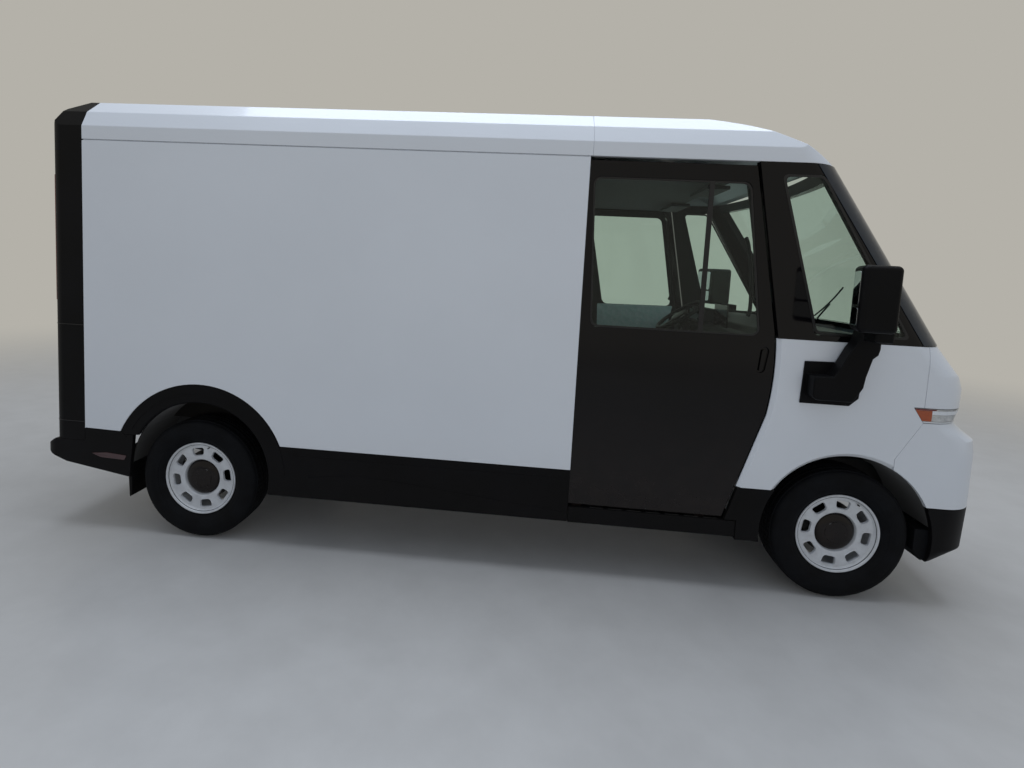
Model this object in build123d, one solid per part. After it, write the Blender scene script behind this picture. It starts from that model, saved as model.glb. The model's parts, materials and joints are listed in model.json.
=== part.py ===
from build123d import *
import math
import os

# Electric step-in delivery van: a skateboard chassis with a box body, pocket sliding cab
# doors, a bulkhead door, steered front wheels and a stepped rear bumper.
# Millimetres. +X forward, +Y left, +Z up. The origin is on the ground under the middle of
# the overall length and width.

# ---- driving dimensions ----------------------------------------------------------------
wheelbase = 3886
rear_overhang = 1040        # rear axle to the edge of the rear step
front_overhang = 830        # front axle to the middle of the bumper
body_width = 2050           # over the side panels, without the mirrors
body_height = 2778          # ground to the roof's crown
tyre_radius = 384
tyre_width = 245
bead_radius = 216           # where the tyre seats on the rim
wheel_inset = 15            # side panel to the tyre's outer sidewall
side_door_travel = 1000
running_gap = 0.5           # at guide shoes and rails
panel_gap = 8               # round a moving door
seat_gap = 0.3              # where a piece is bedded on a curved one

# ---- stations along the van ------------------------------------------------------------
length = wheelbase + rear_overhang + front_overhang
rear_axle_x = rear_overhang - length / 2
front_axle_x = rear_axle_x + wheelbase
front_x = length / 2
rear_x = -length / 2
half_width = body_width / 2
side_front_x = front_axle_x - 1558      # front edge of the white side panel
side_rear_x = rear_axle_x - 748         # rear edge of the white side panel
roof_seam_x = side_front_x + 12
hoop_rear_x = rear_axle_x - 957         # rear face of the black surround
bulkhead_x = side_front_x - 378

# ---- wheels ----------------------------------------------------------------------------
wheel_y = half_width - wheel_inset - tyre_width / 2
rim_lip_radius = bead_radius + 17.5
rim_width = 190
hub_radius = 30                         # the spindle
hub_bore_clearance = 0.05
disc_inset = 45                         # rim lip to the disc's face
spindle_reach = rim_width / 2 - disc_inset - 5
kingpin_y = wheel_y - 72
rail_y = kingpin_y - 320.5              # middle of a chassis rail
rail_width = 60
arch_radius = tyre_radius + 86
rear_arch_radius = tyre_radius + 71
flare_radius = rear_arch_radius + 118
rear_arch_x = rear_axle_x + 14
rear_arch_z = tyre_radius + 46
front_arch_x = front_axle_x + 12
front_arch_z = tyre_radius + 2
liner_thickness = 10

# ---- heights ---------------------------------------------------------------------------
sill_z = 335                            # underside of the lower cladding
cladding_top_z = 650                    # where the white panels begin
fender_bottom_z = 628
bumper_bottom_z = 598
belt_z = 1505                           # foot of the windscreen
panel_top_z = body_height - 310
roof_bottom_z = panel_top_z + 7
floor_top_z = 2 * tyre_radius - 8
floor_thickness = 60
rail_height = 140
rail_top_z = floor_top_z - floor_thickness
rail_bottom_z = rail_top_z - rail_height

# ---- walls -----------------------------------------------------------------------------
skin = 15                               # outer skin over the door pocket
inner_skin = 16                         # between the pocket and the load space
door_thickness = 30
pocket_clearance = 7                    # each side of the door in its pocket
pocket_slot = door_thickness + 2 * pocket_clearance
wall = skin + pocket_slot + inner_skin
shell = 30                              # fenders, nose and bumpers
cab_shell = 55                          # pillars and windscreen frame
roof_wall = 40
glass_thickness = 8
door_inset = skin + pocket_clearance    # side panel to the door's outer face
door_bottom_z = 440
door_top_z = panel_top_z - 11
pocket_reach = 38                       # how far a shut door still sits in its pocket

# ---- the nose, as heights and how far each stands behind the bumper's middle -------------
nose_bow = 122                          # how far the bow runs back at the sides
nose_corner_radius = 220
windscreen_rake = 645 / 956             # run back for each millimetre of height
lamp_top_z = belt_z - 340
lamp_bottom_z = lamp_top_z - 85
skirt_bottom_z = bumper_bottom_z - 323
nose_levels = [(belt_z, 265), (belt_z - 85, 196), (belt_z - 167, 128), (belt_z - 235, 106),
               (lamp_top_z, 108)]
lamp_levels = [(lamp_top_z, 108), (lamp_bottom_z, 132)]
bumper_levels = [(lamp_bottom_z, 132), (lamp_bottom_z - 45, 84), (lamp_bottom_z - 95, 13),
                 (lamp_bottom_z - 175, 0), (bumper_bottom_z, 0)]
skirt_levels = [(bumper_bottom_z, 0), (bumper_bottom_z - 238, 12), (skirt_bottom_z, 150)]
nose_seam_x = front_axle_x + 359        # fender to nose panel

os.makedirs("parts", exist_ok=True)


# ---- helpers ---------------------------------------------------------------------------
def save(name, *pieces):
    """Writes one node; like pieces that do not touch share a node."""
    solids = [solid for piece in pieces for solid in piece.solids()]
    export_step(solids[0] if len(solids) == 1 else Compound(solids), f"parts/{name}.step")
    return solids


def block(x, y, z):
    """A box from three (low, high) ranges."""
    ranges = (x, y, z)
    middle = [(low + high) / 2 for low, high in ranges]
    return Pos(*middle) * Box(*[high - low for low, high in ranges])


def side_slab(sketch, y_low, y_high):
    """A side view, drawn in X and Z, as a slab between two Y."""
    return extrude(Plane.XZ.offset(-y_low) * sketch, amount=y_high - y_low, dir=(0, 1, 0))


def front_slab(sketch, x_low, x_high):
    """A front view, drawn in Y and Z, as a slab between two X."""
    return extrude(Plane.YZ.offset(x_low) * sketch, amount=x_high - x_low, dir=(1, 0, 0))


def cross_cylinder(radius, x, z, y_low, y_high):
    """A cylinder along Y."""
    return side_slab(Pos(x, z) * Circle(radius), y_low, y_high)


def left_of(piece):
    """The left-hand twin of a right-hand piece."""
    return mirror(piece, about=Plane.XZ)


def both(piece):
    """A right-hand piece and its left-hand twin."""
    return [piece, left_of(piece)]


def rounded(sketch, radius):
    return fillet(sketch.vertices(), radius)


# ---- outer forms -----------------------------------------------------------------------
def plan_face(front, inset, z):
    """The plan at height z: straight sides, round corners and a bowed front."""
    side = half_width - inset
    back = side_front_x - 200
    corner = front - nose_bow
    outline = Line((back, side), (back, -side)) + Line((back, -side), (corner, -side))
    outline += ThreePointArc((corner, -side), (front, 0), (corner, side))
    outline += Line((corner, side), (back, side))
    face = make_face(outline)
    corners = face.vertices().sort_by(Axis.X)[-2:]
    return Pos(0, 0, z) * fillet(corners, nose_corner_radius - inset)


def front_stack(levels, inset):
    """Plans stacked from level to level, each leaning to meet the next."""
    stack = None
    for (top_z, top_back), (low_z, low_back) in zip(levels, levels[1:]):
        face = plan_face(front_x - low_back - inset, inset, low_z)
        lean = Vector(low_back - top_back, 0, top_z - low_z)
        layer = extrude(face, amount=lean.length, dir=lean)
        stack = layer if stack is None else stack + layer
    return stack


def front_shell(levels):
    return front_stack(levels, 0) - front_stack(levels, shell)


def greenhouse(inset, low_z=belt_z, high_z=roof_bottom_z):
    """The cab above the belt, its front leaning back at the windscreen's rake."""
    foot_x = front_x - nose_levels[0][1] - (low_z - belt_z) * windscreen_rake
    face = plan_face(foot_x - inset, inset, low_z)
    lean = Vector(-windscreen_rake, 0, 1) * (high_z - low_z)
    return extrude(face, amount=lean.length, dir=lean)


def roof_section(inset):
    """The roof across the van: an upright rail, a sloped strip, a chamfer and a low crown."""
    edge = half_width - inset
    low = roof_bottom_z - (40 if inset else 0)
    right = [(-edge, low), (-edge, body_height - 223 - inset),
             (-edge + 45, body_height - 130 - inset), (-edge + 150, body_height - 46 - inset)]
    left = [(-y, z) for y, z in reversed(right)]
    outline = Polyline(*right) + Polyline(*left) + Line(left[-1], right[0])
    outline += ThreePointArc(right[-1], (0, body_height - inset), left[0])
    return make_face(outline)


# ---- side doors ------------------------------------------------------------------------
door_edge_top = (front_axle_x - 642, panel_top_z - 9)
door_edge_upper = (front_axle_x - 464, belt_z + 15)
door_edge_middle = (front_axle_x - 455, belt_z - 205)
door_edge_lower = (front_axle_x - 477, belt_z - 446)
door_edge_foot = (front_axle_x - 669, door_bottom_z - 8)
door_outer_y = -half_width + door_inset


def run_out(start, end, z):
    """Where the straight line through two side-view points reaches height z."""
    return start[0] + (end[0] - start[0]) * (z - start[1]) / (end[1] - start[1])


def door_region(rear_x, low_z, high_z, grow=0.0):
    """The side view behind the door's front edge, which leans, bows and runs back below."""
    upper_x = run_out(door_edge_upper, door_edge_top, high_z) + grow
    lower_x = run_out(door_edge_lower, door_edge_foot, low_z) + grow
    bow = [(x + grow, z) for x, z in (door_edge_upper, door_edge_middle, door_edge_lower)]
    outline = Line((upper_x, high_z), bow[0]) + ThreePointArc(*bow)
    outline += Polyline(bow[2], (lower_x, low_z), (rear_x, low_z), (rear_x, high_z),
                        (upper_x, high_z))
    return make_face(outline)


window_low_z = belt_z + 3
window_high_z = panel_top_z - 103
door_window = rounded(
    Polygon((side_front_x + 25, window_high_z), (front_axle_x - 663, window_high_z),
            (front_axle_x - 544, window_low_z), (side_front_x + 60, window_low_z)), 45)
handle_recess = Pos(front_axle_x - 520, belt_z - 130) * SlotOverall(150, 52, rotation=82)
handle_depth = 14
track_top_z = door_bottom_z - 15
door_rear_x = side_front_x - pocket_reach
pocket_rear_x = door_rear_x - side_door_travel - 25
step_front_x = front_axle_x - 590
step_depth = 330


def side_door():
    leaf = side_slab(door_region(door_rear_x, door_bottom_z, door_top_z),
                     door_outer_y, door_outer_y + door_thickness)
    leaf -= side_slab(door_window, door_outer_y - 1, door_outer_y + door_thickness + 1)
    leaf -= side_slab(handle_recess, door_outer_y - 1, door_outer_y + handle_depth)
    for shoe_x in (door_rear_x + 90, front_axle_x - 790):
        leaf += block((shoe_x - 30, shoe_x + 30), (door_outer_y + 6, door_outer_y + door_thickness - 6),
                      (track_top_z + running_gap, door_bottom_z))
    return leaf


def side_glass():
    middle = door_outer_y + 4
    return side_slab(door_window, middle, middle + glass_thickness - 2)


# ---- body sides ------------------------------------------------------------------------
def arch_cut(radius, y_low, y_high):
    return cross_cylinder(radius, rear_arch_x, rear_arch_z, y_low, y_high)


def body_side():
    """White outer skin and inner wall, with the pocket that the cab door slides into."""
    outer_y = -half_width
    inner_y = outer_y + wall
    slot_y = (outer_y + skin, outer_y + skin + pocket_slot)
    panel = block((side_rear_x, side_front_x), (outer_y, inner_y), (cladding_top_z, roof_bottom_z))
    panel += block((pocket_rear_x - 20, side_front_x), (slot_y[1], inner_y),
                   (sill_z + 75, cladding_top_z))
    panel -= block((side_rear_x - 1, side_front_x + 1), (outer_y - 1, outer_y + 10),
                   (panel_top_z, roof_bottom_z + 1))
    panel -= block((pocket_rear_x, side_front_x + 1), slot_y, (sill_z, door_top_z + panel_gap))
    panel -= arch_cut(flare_radius, outer_y - 1, outer_y + skin)
    panel -= arch_cut(rear_arch_radius + liner_thickness, outer_y - 1, inner_y + 1)
    return panel


def sill_cladding():
    """Black lower cladding: arch flare and rocker in one, and the piece ahead of the door."""
    outer_y = -half_width
    skin_y = (outer_y, outer_y + skin)
    arch_front_x = rear_arch_x + rear_arch_radius
    rocker = block((arch_front_x - 60, side_front_x), skin_y, (sill_z, cladding_top_z))
    rocker += block((arch_front_x + 40, pocket_rear_x - 25), (outer_y, outer_y + wall),
                    (sill_z, sill_z + 15))
    flare = arch_cut(flare_radius, *skin_y)
    flare -= block((rear_arch_x - 700, rear_arch_x + 700), (outer_y - 1, 0), (-200, sill_z))
    flare -= block((rear_arch_x - 700, rear_arch_x - 300), (outer_y - 1, 0), (0, cladding_top_z))
    rocker = (rocker + flare) - arch_cut(rear_arch_radius, outer_y - 1, 0)
    toe = Polygon(
        (run_out(door_edge_lower, door_edge_foot, fender_bottom_z) + panel_gap, fender_bottom_z),
        (front_arch_x, fender_bottom_z), (front_arch_x, sill_z - 20), (step_front_x, sill_z - 20),
        (step_front_x, door_bottom_z - 10),
        (run_out(door_edge_lower, door_edge_foot, door_bottom_z) + panel_gap, door_bottom_z - 10))
    toe -= Pos(front_arch_x, front_arch_z) * Circle(arch_radius)
    return [rocker, side_slab(toe, outer_y, outer_y + shell)]


def side_step():
    """The step below the door, with the lower track that runs back into the pocket."""
    step = block((side_front_x + 2, step_front_x), (-half_width + 5, -half_width + step_depth),
                 (sill_z - 5, track_top_z))
    track_y = (door_outer_y + 1, door_outer_y + door_thickness - 1)
    return step + block((pocket_rear_x, side_front_x + 2), track_y, (track_top_z - 25, track_top_z))


# ---- roof, cab frame and nose ----------------------------------------------------------
def cargo_roof():
    outer = front_slab(roof_section(0), side_rear_x, roof_seam_x)
    return outer - front_slab(roof_section(roof_wall), side_rear_x - 1, roof_seam_x + 1)


def roof_fall(inset):
    """Side view of the cab roof, level behind and falling over the windscreen."""
    drops = [(1400, 0), (1186, 13), (841, 53), (613, 109), (486, 160), (385, 206), (270, 273), (161, 348)]
    fall = [(front_axle_x - back, body_height - drop - inset) for back, drop in drops]
    start = fall[0]
    outline = Spline(*fall, tangents=[(1, 0), (1, -1.25)])
    end = fall[-1]
    outline += Polyline(end, (end[0], roof_bottom_z - 60), (roof_seam_x - 1, roof_bottom_z - 60),
                        (roof_seam_x - 1, body_height + 5 - inset), (start[0], body_height + 5 - inset),
                        start)
    return make_face(outline)


def cab_roof_solid(inset):
    reach = front_x
    solid = front_slab(roof_section(inset), roof_seam_x - (1 if inset else 0), reach)
    solid &= side_slab(roof_fall(inset), -half_width - 1, half_width + 1)
    return solid & greenhouse(inset, low_z=roof_bottom_z - 60, high_z=body_height + 20)


def cab_roof():
    roof = cab_roof_solid(0) - cab_roof_solid(roof_wall)
    return roof & block((roof_seam_x, front_x), (-half_width, half_width),
                        (roof_bottom_z, body_height + 20))


quarter_window = rounded(
    Polygon((front_axle_x - 517, roof_bottom_z - 65), (front_axle_x - 290, roof_bottom_z - 65),
            (front_axle_x + 245, belt_z + 32), (front_axle_x - 262, belt_z + 32)), 35)
screen_half_width = half_width - 115
screen_low_z = belt_z + 15
screen_high_z = roof_bottom_z - 35


def outer_glass():
    """A skin of glass thickness on the greenhouse."""
    return greenhouse(0) - greenhouse(glass_thickness)


def windscreen_zone(margin):
    half = screen_half_width - margin
    return block((front_axle_x - 700, front_x), (-half, half),
                 (screen_low_z + margin, screen_high_z - margin))


def fixed_glass():
    """The windscreen and the two quarter windows."""
    skin_of_glass = outer_glass()
    screen = skin_of_glass & windscreen_zone(0)
    quarters = skin_of_glass & side_slab(quarter_window, -half_width - 1, half_width + 1)
    return screen, quarters


def cab_frame():
    """Door posts, windscreen pillars and header round the cab's fixed glass."""
    frame = greenhouse(0) - greenhouse(cab_shell)
    doorway = door_region(side_front_x - 300, belt_z - 1, roof_bottom_z + 1, panel_gap)
    frame -= side_slab(doorway, -half_width - 1, half_width + 1)
    screen, quarters = fixed_glass()
    frame -= screen
    frame -= windscreen_zone(25)
    frame -= side_slab(quarter_window, -half_width - 1, half_width + 1)
    return frame & block((front_axle_x - 700, front_x), (-half_width, half_width),
                         (belt_z, roof_bottom_z))


lamp_tip = (nose_seam_x - 55, lamp_top_z)
lamp_heel = (nose_seam_x + 2, lamp_bottom_z)
seam_foot = (front_axle_x + 234, lamp_bottom_z - 216)


def fender_view(low_z):
    """Side view of a fender, between the door, the nose and the arch."""
    gap = panel_gap
    region = Polygon((side_front_x, belt_z), (nose_seam_x - 1, belt_z), (nose_seam_x - 1, lamp_top_z),
                     lamp_tip, lamp_heel, seam_foot, (seam_foot[0], low_z), (side_front_x, low_z))
    region -= door_region(side_front_x - 300, low_z - 1, belt_z + 1, gap)
    return region - Pos(front_arch_x, front_arch_z) * Circle(arch_radius)


def fenders():
    body = front_shell(nose_levels) + front_shell(lamp_levels) + front_shell(bumper_levels)
    return body & side_slab(fender_view(fender_bottom_z), -half_width - 1, half_width + 1)


def nose_panel():
    return front_shell(nose_levels) & block(
        (nose_seam_x, front_x), (-half_width, half_width), (lamp_top_z, belt_z))


lamp_inner_y = half_width - 420


def headlamps():
    band = front_shell(lamp_levels)
    wrap = Polygon(lamp_tip, (front_x, lamp_top_z), (front_x, lamp_bottom_z), lamp_heel)
    band &= side_slab(wrap, -half_width - 1, half_width + 1)
    return band - block((nose_seam_x - 100, front_x), (-lamp_inner_y, lamp_inner_y), (1000, 1300))


def nose_band():
    """The black band between the headlamps, set back from them."""
    lamps = [(z, back + 12) for z, back in lamp_levels]
    return front_shell(lamps) & block(
        (nose_seam_x, front_x), (-lamp_inner_y, lamp_inner_y), (lamp_bottom_z, lamp_top_z))


plate_half_width = 170
plate_z = bumper_bottom_z + 122
plate_half_height = 90
plate_seat_x = front_x - 12
plate_hole_spacing = 178
plate_hole_radius = 3


def plate_holes(x, z, reach):
    """Two holes for a number plate, half of their reach on each side of x."""
    holes = [Pos(x, side * plate_hole_spacing / 2, z) * Rot(0, 90, 0) * Cylinder(plate_hole_radius, reach)
             for side in (-1, 1)]
    return holes[0] + holes[1]


def front_bumper():
    """White bumper: from the fender seam forward, with a flat for a blank plate."""
    seam = Polygon(lamp_heel, (front_x + 1, lamp_bottom_z), (front_x + 1, bumper_bottom_z),
                   (seam_foot[0] + 1, bumper_bottom_z), (seam_foot[0] + 1, seam_foot[1]))
    seam -= Pos(front_arch_x, front_arch_z) * Circle(arch_radius)
    bumper = front_shell(bumper_levels) & side_slab(seam, -half_width - 1, half_width + 1)
    bumper -= block((plate_seat_x, front_x + 5), (-plate_half_width, plate_half_width),
                    (plate_z - plate_half_height, plate_z + plate_half_height))
    return bumper - plate_holes(plate_seat_x, plate_z, 80)


def front_skirt():
    """Black lower bumper below the white one."""
    zone = Polygon((front_arch_x + 432, bumper_bottom_z), (front_x + 1, bumper_bottom_z),
                   (front_x + 1, skirt_bottom_z), (front_arch_x + 432, skirt_bottom_z))
    zone -= Pos(front_arch_x, front_arch_z) * Circle(arch_radius)
    return front_shell(skirt_levels) & side_slab(zone, -half_width - 1, half_width + 1)


# ---- rear ------------------------------------------------------------------------------
opening_half = half_width - 135
opening_low_z = floor_top_z + 5
opening_high_z = panel_top_z - 43
hoop_low_z = 590
rear_plate_z = (hoop_low_z + opening_low_z) / 2
rear_plate_half_height = 76
rear_plate_seat_x = hoop_rear_x + 15


def rounded_tail(rear, low_z, high_z, radius):
    """The plan of the tail with round corners, to trim square pieces to."""
    outline = Polygon((rear, -half_width), (rear, half_width), (0, half_width), (0, -half_width))
    outline = fillet(outline.vertices().sort_by(Axis.X)[:2], radius)
    return extrude(Pos(0, 0, low_z) * outline, amount=high_z - low_z, dir=(0, 0, 1))


def rear_surround():
    """The black hoop round the tail, over the roll-up door's opening."""
    bulge = hoop_rear_x
    side_view = Polygon((side_rear_x, hoop_low_z), (bulge + 12, hoop_low_z), (bulge, 1400),
                        (bulge - 12, body_height - 400), (bulge + 10, body_height - 215),
                        (bulge + 60, body_height - 110), (side_rear_x, body_height - 5))
    section = Polygon((-half_width, hoop_low_z), (half_width, hoop_low_z),
                      (half_width, roof_bottom_z), (-half_width, roof_bottom_z))
    section += roof_section(0)
    hoop = front_slab(section, bulge - 40, side_rear_x)
    hoop &= side_slab(side_view, -half_width - 1, half_width + 1)
    hoop &= rounded_tail(bulge - 12, hoop_low_z, body_height, 80)
    hoop -= block((bulge - 60, side_rear_x + 1), (-opening_half, opening_half),
                  (opening_low_z, opening_high_z))
    hoop -= block((bulge - 60, rear_plate_seat_x), (-plate_half_width, plate_half_width),
                  (rear_plate_z - rear_plate_half_height, rear_plate_z + rear_plate_half_height))
    return hoop - plate_holes(rear_plate_seat_x, rear_plate_z, 120)


shutter_x = (hoop_rear_x + 95, hoop_rear_x + 123)
slat_count = 14


def roll_up_door():
    leaf = block(shutter_x, (-opening_half, opening_half), (opening_low_z, opening_high_z))
    pitch = (opening_high_z - opening_low_z) / slat_count
    for joint in range(1, slat_count):
        z = opening_low_z + joint * pitch
        leaf -= block((shutter_x[0] - 1, shutter_x[0] + 4), (-opening_half, opening_half), (z - 3, z + 3))
    return leaf


def tail_lamps():
    lamp = block((hoop_rear_x - 14, hoop_rear_x + 6), (-half_width + 35, -half_width + 80),
                 (panel_top_z - 988, panel_top_z - 208))
    return both(lamp - rear_surround())


def rear_bumper():
    """Step across the tail, with side returns that run forward to the wheel arch."""
    arch_rear_x = rear_arch_x - rear_arch_radius
    side_view = Polygon((hoop_rear_x + 5, hoop_low_z), (rear_x, 535), (rear_x, 505),
                        (rear_axle_x - 880, 442), (arch_rear_x - 5, 372),
                        (arch_rear_x + 20, cladding_top_z), (side_rear_x, cladding_top_z),
                        (side_rear_x, hoop_low_z))
    side_view -= Pos(rear_arch_x, rear_arch_z) * Circle(rear_arch_radius)
    bumper = side_slab(side_view, -half_width, half_width)
    bumper &= rounded_tail(rear_x, 300, cladding_top_z, 90)
    bumper -= block((hoop_rear_x + 60, rear_axle_x), (-half_width + shell, half_width - shell),
                    (300, cladding_top_z + 1))
    bumper -= arch_cut(flare_radius, -half_width - 1, half_width + 1) & block(
        (rear_arch_x - 300, rear_arch_x), (-half_width, half_width), (0, 900))
    return bumper


def mudflaps():
    flap_x = rear_arch_x - rear_arch_radius
    view = Polygon((flap_x - 45, 560), (flap_x - 10, 560), (flap_x - 12, 240), (flap_x - 30, 227))
    return both(side_slab(view, -half_width + shell, -wheel_y + tyre_width / 2))


# ---- chassis ---------------------------------------------------------------------------
crossmember_half = 40
jack_pad_depth = 12
jack_pad_x = (rear_axle_x - 560, front_axle_x - 626)


def chassis_frame():
    """Two rails with jack pads under them, and six crossmembers."""
    start, end = side_rear_x, front_x - 190
    frame = block((start, end), (-rail_y - rail_width / 2, -rail_y + rail_width / 2),
                  (rail_bottom_z, rail_top_z))
    for x in jack_pad_x:
        frame += block((x - 45, x + 45), (-rail_y - 28, -rail_y + 28),
                       (rail_bottom_z - jack_pad_depth, rail_bottom_z))
    frame += left_of(frame)
    behind, ahead = rear_axle_x + 520, front_axle_x - 520
    third = (ahead - behind) / 3
    for x in (start + crossmember_half, behind, behind + third, ahead - third, ahead,
              end - crossmember_half):
        frame += block((x - crossmember_half, x + crossmember_half), (-rail_y, rail_y),
                       (rail_bottom_z + 15, rail_top_z - 15))
    return frame


battery_x = (rear_axle_x + 660, front_axle_x - 730)
battery_half_width = half_width - 340


def battery_pack():
    return block(battery_x, (-battery_half_width, battery_half_width), (sill_z + 20, rail_bottom_z))


def liner(x, z, radius, inner_y, low_z):
    """A wheel arch tub: half a drum with a closed inner end."""
    outer_y = -half_width + shell
    tub = cross_cylinder(radius + liner_thickness, x, z, outer_y, inner_y + liner_thickness)
    tub -= cross_cylinder(radius, x, z, outer_y - 1, inner_y)
    return tub & block((x - 600, x + 600), (outer_y, 0), (low_z, z + 600))


front_tub_y = -(rail_y + rail_width / 2 + 2)
rear_tub_y = -wheel_y + tyre_width / 2 + 35


def wheel_liners():
    front = liner(front_arch_x, front_arch_z, arch_radius, front_tub_y - liner_thickness, rail_top_z)
    rear = liner(rear_arch_x, rear_arch_z, rear_arch_radius, rear_tub_y, rail_top_z)
    return both(front) + both(rear)


deck_sheet_thickness = 3


def floor():
    """One deck for cargo and cab, cut round the wheels and step wells, with a wear sheet."""
    inner = half_width - wall
    narrow = rail_y + rail_width / 2
    heights = (rail_top_z, floor_top_z)
    deck = block((side_rear_x, front_axle_x - 400), (-inner, inner), heights)
    deck += block((front_axle_x - 400, front_axle_x + 330), (-narrow, narrow), heights)
    for x, z, radius, tub_y in ((front_arch_x, front_arch_z, arch_radius, front_tub_y),
                                (rear_arch_x, rear_arch_z, rear_arch_radius, rear_tub_y + liner_thickness)):
        for side in both(cross_cylinder(radius + liner_thickness, x, z, -half_width, tub_y)):
            deck -= side
    step_well = block((side_front_x + 2, step_front_x), (-half_width, -half_width + step_depth), (0, 2000))
    deck -= step_well
    deck -= left_of(step_well)
    sheet_half = -rear_tub_y - liner_thickness - 15
    return deck + block((side_rear_x + 20, bulkhead_x - 20), (-sheet_half, sheet_half),
                        (floor_top_z, floor_top_z + deck_sheet_thickness))


def rear_axle():
    """Drive unit on a tube, carried by two leaf springs."""
    z = tyre_radius
    axle = cross_cylinder(52, rear_axle_x, z, -wheel_y + 25, wheel_y - 25)
    axle += cross_cylinder(150, rear_axle_x, z, -190, 190)
    axle += cross_cylinder(hub_radius, rear_axle_x, z, -wheel_y - spindle_reach, wheel_y + spindle_reach)
    spring_y = (-rail_y - rail_width / 2 - 70, -rail_y - rail_width / 2)
    ends = (rear_axle_x - 620, rear_axle_x + 560)
    eye_z = rail_bottom_z - 35
    top_z = z + 62
    leaf = ThreePointArc((ends[0], eye_z), (rear_axle_x, top_z), (ends[1], eye_z))
    under = ThreePointArc((ends[1], eye_z - 16), (rear_axle_x, top_z - 32), (ends[0], eye_z - 16))
    outline = leaf + Line((ends[1], eye_z), (ends[1], eye_z - 16)) + under
    outline += Line((ends[0], eye_z - 16), (ends[0], eye_z))
    spring = side_slab(make_face(outline), *spring_y)
    for x in ends:
        spring += block((x - 25, x + 25), spring_y, (eye_z - 22, rail_bottom_z + 40))
    for piece in both(spring):
        axle += piece
    return axle


kingpin_half = 95
pin_radius = 14


def knuckle():
    """Upright on its kingpin, with the spindle that the wheel turns on."""
    z = tyre_radius
    upright = Pos(front_axle_x, -kingpin_y, z) * Cylinder(36, 2 * kingpin_half)
    upright += Pos(front_axle_x, -kingpin_y, z) * Cylinder(pin_radius, 2 * kingpin_half + 70)
    upright += cross_cylinder(hub_radius, front_axle_x, z, -wheel_y - spindle_reach, -kingpin_y)
    upright += cross_cylinder(55, front_axle_x, z, -kingpin_y - 50, -kingpin_y)
    return upright


def front_suspension():
    """Subframe with an upper and a lower arm on each side, forked round the kingpin's ends."""
    z = tyre_radius
    eye_reach = kingpin_half + running_gap
    arms = None
    for low_z in (z - eye_reach - 30, z + eye_reach):
        arm = Pos(front_axle_x, -kingpin_y, low_z + 15) * Cylinder(34, 30)
        arm += extrude(Pos(0, 0, low_z) * Polygon(
            (front_axle_x - 150, -rail_y + 40), (front_axle_x + 150, -rail_y + 40),
            (front_axle_x + 150, -rail_y - 20), (front_axle_x + 25, -kingpin_y + 10),
            (front_axle_x - 25, -kingpin_y + 10), (front_axle_x - 150, -rail_y - 20)),
            amount=30, dir=(0, 0, 1))
        arm -= Pos(front_axle_x, -kingpin_y, low_z + 15) * Cylinder(pin_radius + hub_bore_clearance, 40)
        arms = arm if arms is None else arms + arm
    frame = block((front_axle_x - 190, front_axle_x + 190), (-rail_y + 25, rail_y - 25),
                  (z - eye_reach - 45, z - eye_reach + 25))
    frame += block((front_axle_x - 160, front_axle_x + 160), (-rail_y + 20, -rail_y + 60),
                   (z - eye_reach - 45, rail_bottom_z))
    frame += block((front_axle_x - 160, front_axle_x + 160), (rail_y - 60, rail_y - 20),
                   (z - eye_reach - 45, rail_bottom_z))
    for piece in both(arms):
        frame += piece
    return frame


# ---- wheels ----------------------------------------------------------------------------
hand_hole_count = 8
hand_hole_radius = 172
disc_thickness = 12


def turned(profile, x, y):
    """A section drawn as radius against distance along the axle, turned round the wheel."""
    solid = revolve(profile, Axis.X)
    return Pos(x, y, tyre_radius) * Rot(0, 0, 90) * solid


def tyre(x, side):
    """Tyre section: beads, bulged sidewalls and a flat tread with round shoulders."""
    half = tyre_width / 2
    lip = rim_width / 2 - 9
    outer_side = [(lip, rim_lip_radius + 2), (half - 2, (bead_radius + tyre_radius) / 2),
                  (half - 12, tyre_radius - 42), (half - 36, tyre_radius - 4)]
    inner_side = [(-x, r) for x, r in reversed(outer_side)]
    outline = Polyline(inner_side[-1], (-lip, bead_radius), (lip, bead_radius), outer_side[0])
    outline += Spline(*outer_side, tangents=[(1, 0.6), (-1, 0.35)])
    outline += ThreePointArc(outer_side[-1], (0, tyre_radius), inner_side[0])
    outline += Spline(*inner_side, tangents=[(-1, -0.35), (1, -0.6)])
    return turned(make_face(outline), x, side * wheel_y)


def rim(x, side):
    """Pressed steel wheel: barrel and lips, a disc with hand holes and a domed centre."""
    half = rim_width / 2
    disc = half - disc_inset
    inner = bead_radius - 8
    barrel = Polygon((-half, inner), (half, inner), (half, rim_lip_radius), (half - 7, rim_lip_radius),
                     (half - 8, bead_radius), (-half + 8, bead_radius), (-half + 7, rim_lip_radius),
                     (-half, rim_lip_radius))
    bore = hub_radius + hub_bore_clearance
    plate = Polygon((disc - disc_thickness, bore), (disc, bore), (disc, inner + 1),
                    (disc - disc_thickness, inner + 1))
    hub = Polygon((-18, bore), (disc, bore), (disc, 75), (-18, 75))
    cap = Polygon((disc, 0), (disc + 30, 0), (disc + 26, 60), (disc + 14, 92), (disc, 108))
    wheel = revolve(barrel + plate + hub, Axis.X)
    wheel += revolve(cap, Axis.X)
    hole = fillet(Polygon((-33, -24), (33, -24), (26, 24), (-26, 24)).vertices(), 12)
    for index in range(hand_hole_count):
        spot = Rot(index * 360 / hand_hole_count, 0, 0) * Plane.YZ.offset(disc - 40)
        wheel -= extrude(spot * Pos(0, -hand_hole_radius) * hole, amount=80)
    placed = Rot(0, 0, 90 * side) * wheel
    return Pos(x, side * wheel_y, tyre_radius) * placed


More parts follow.
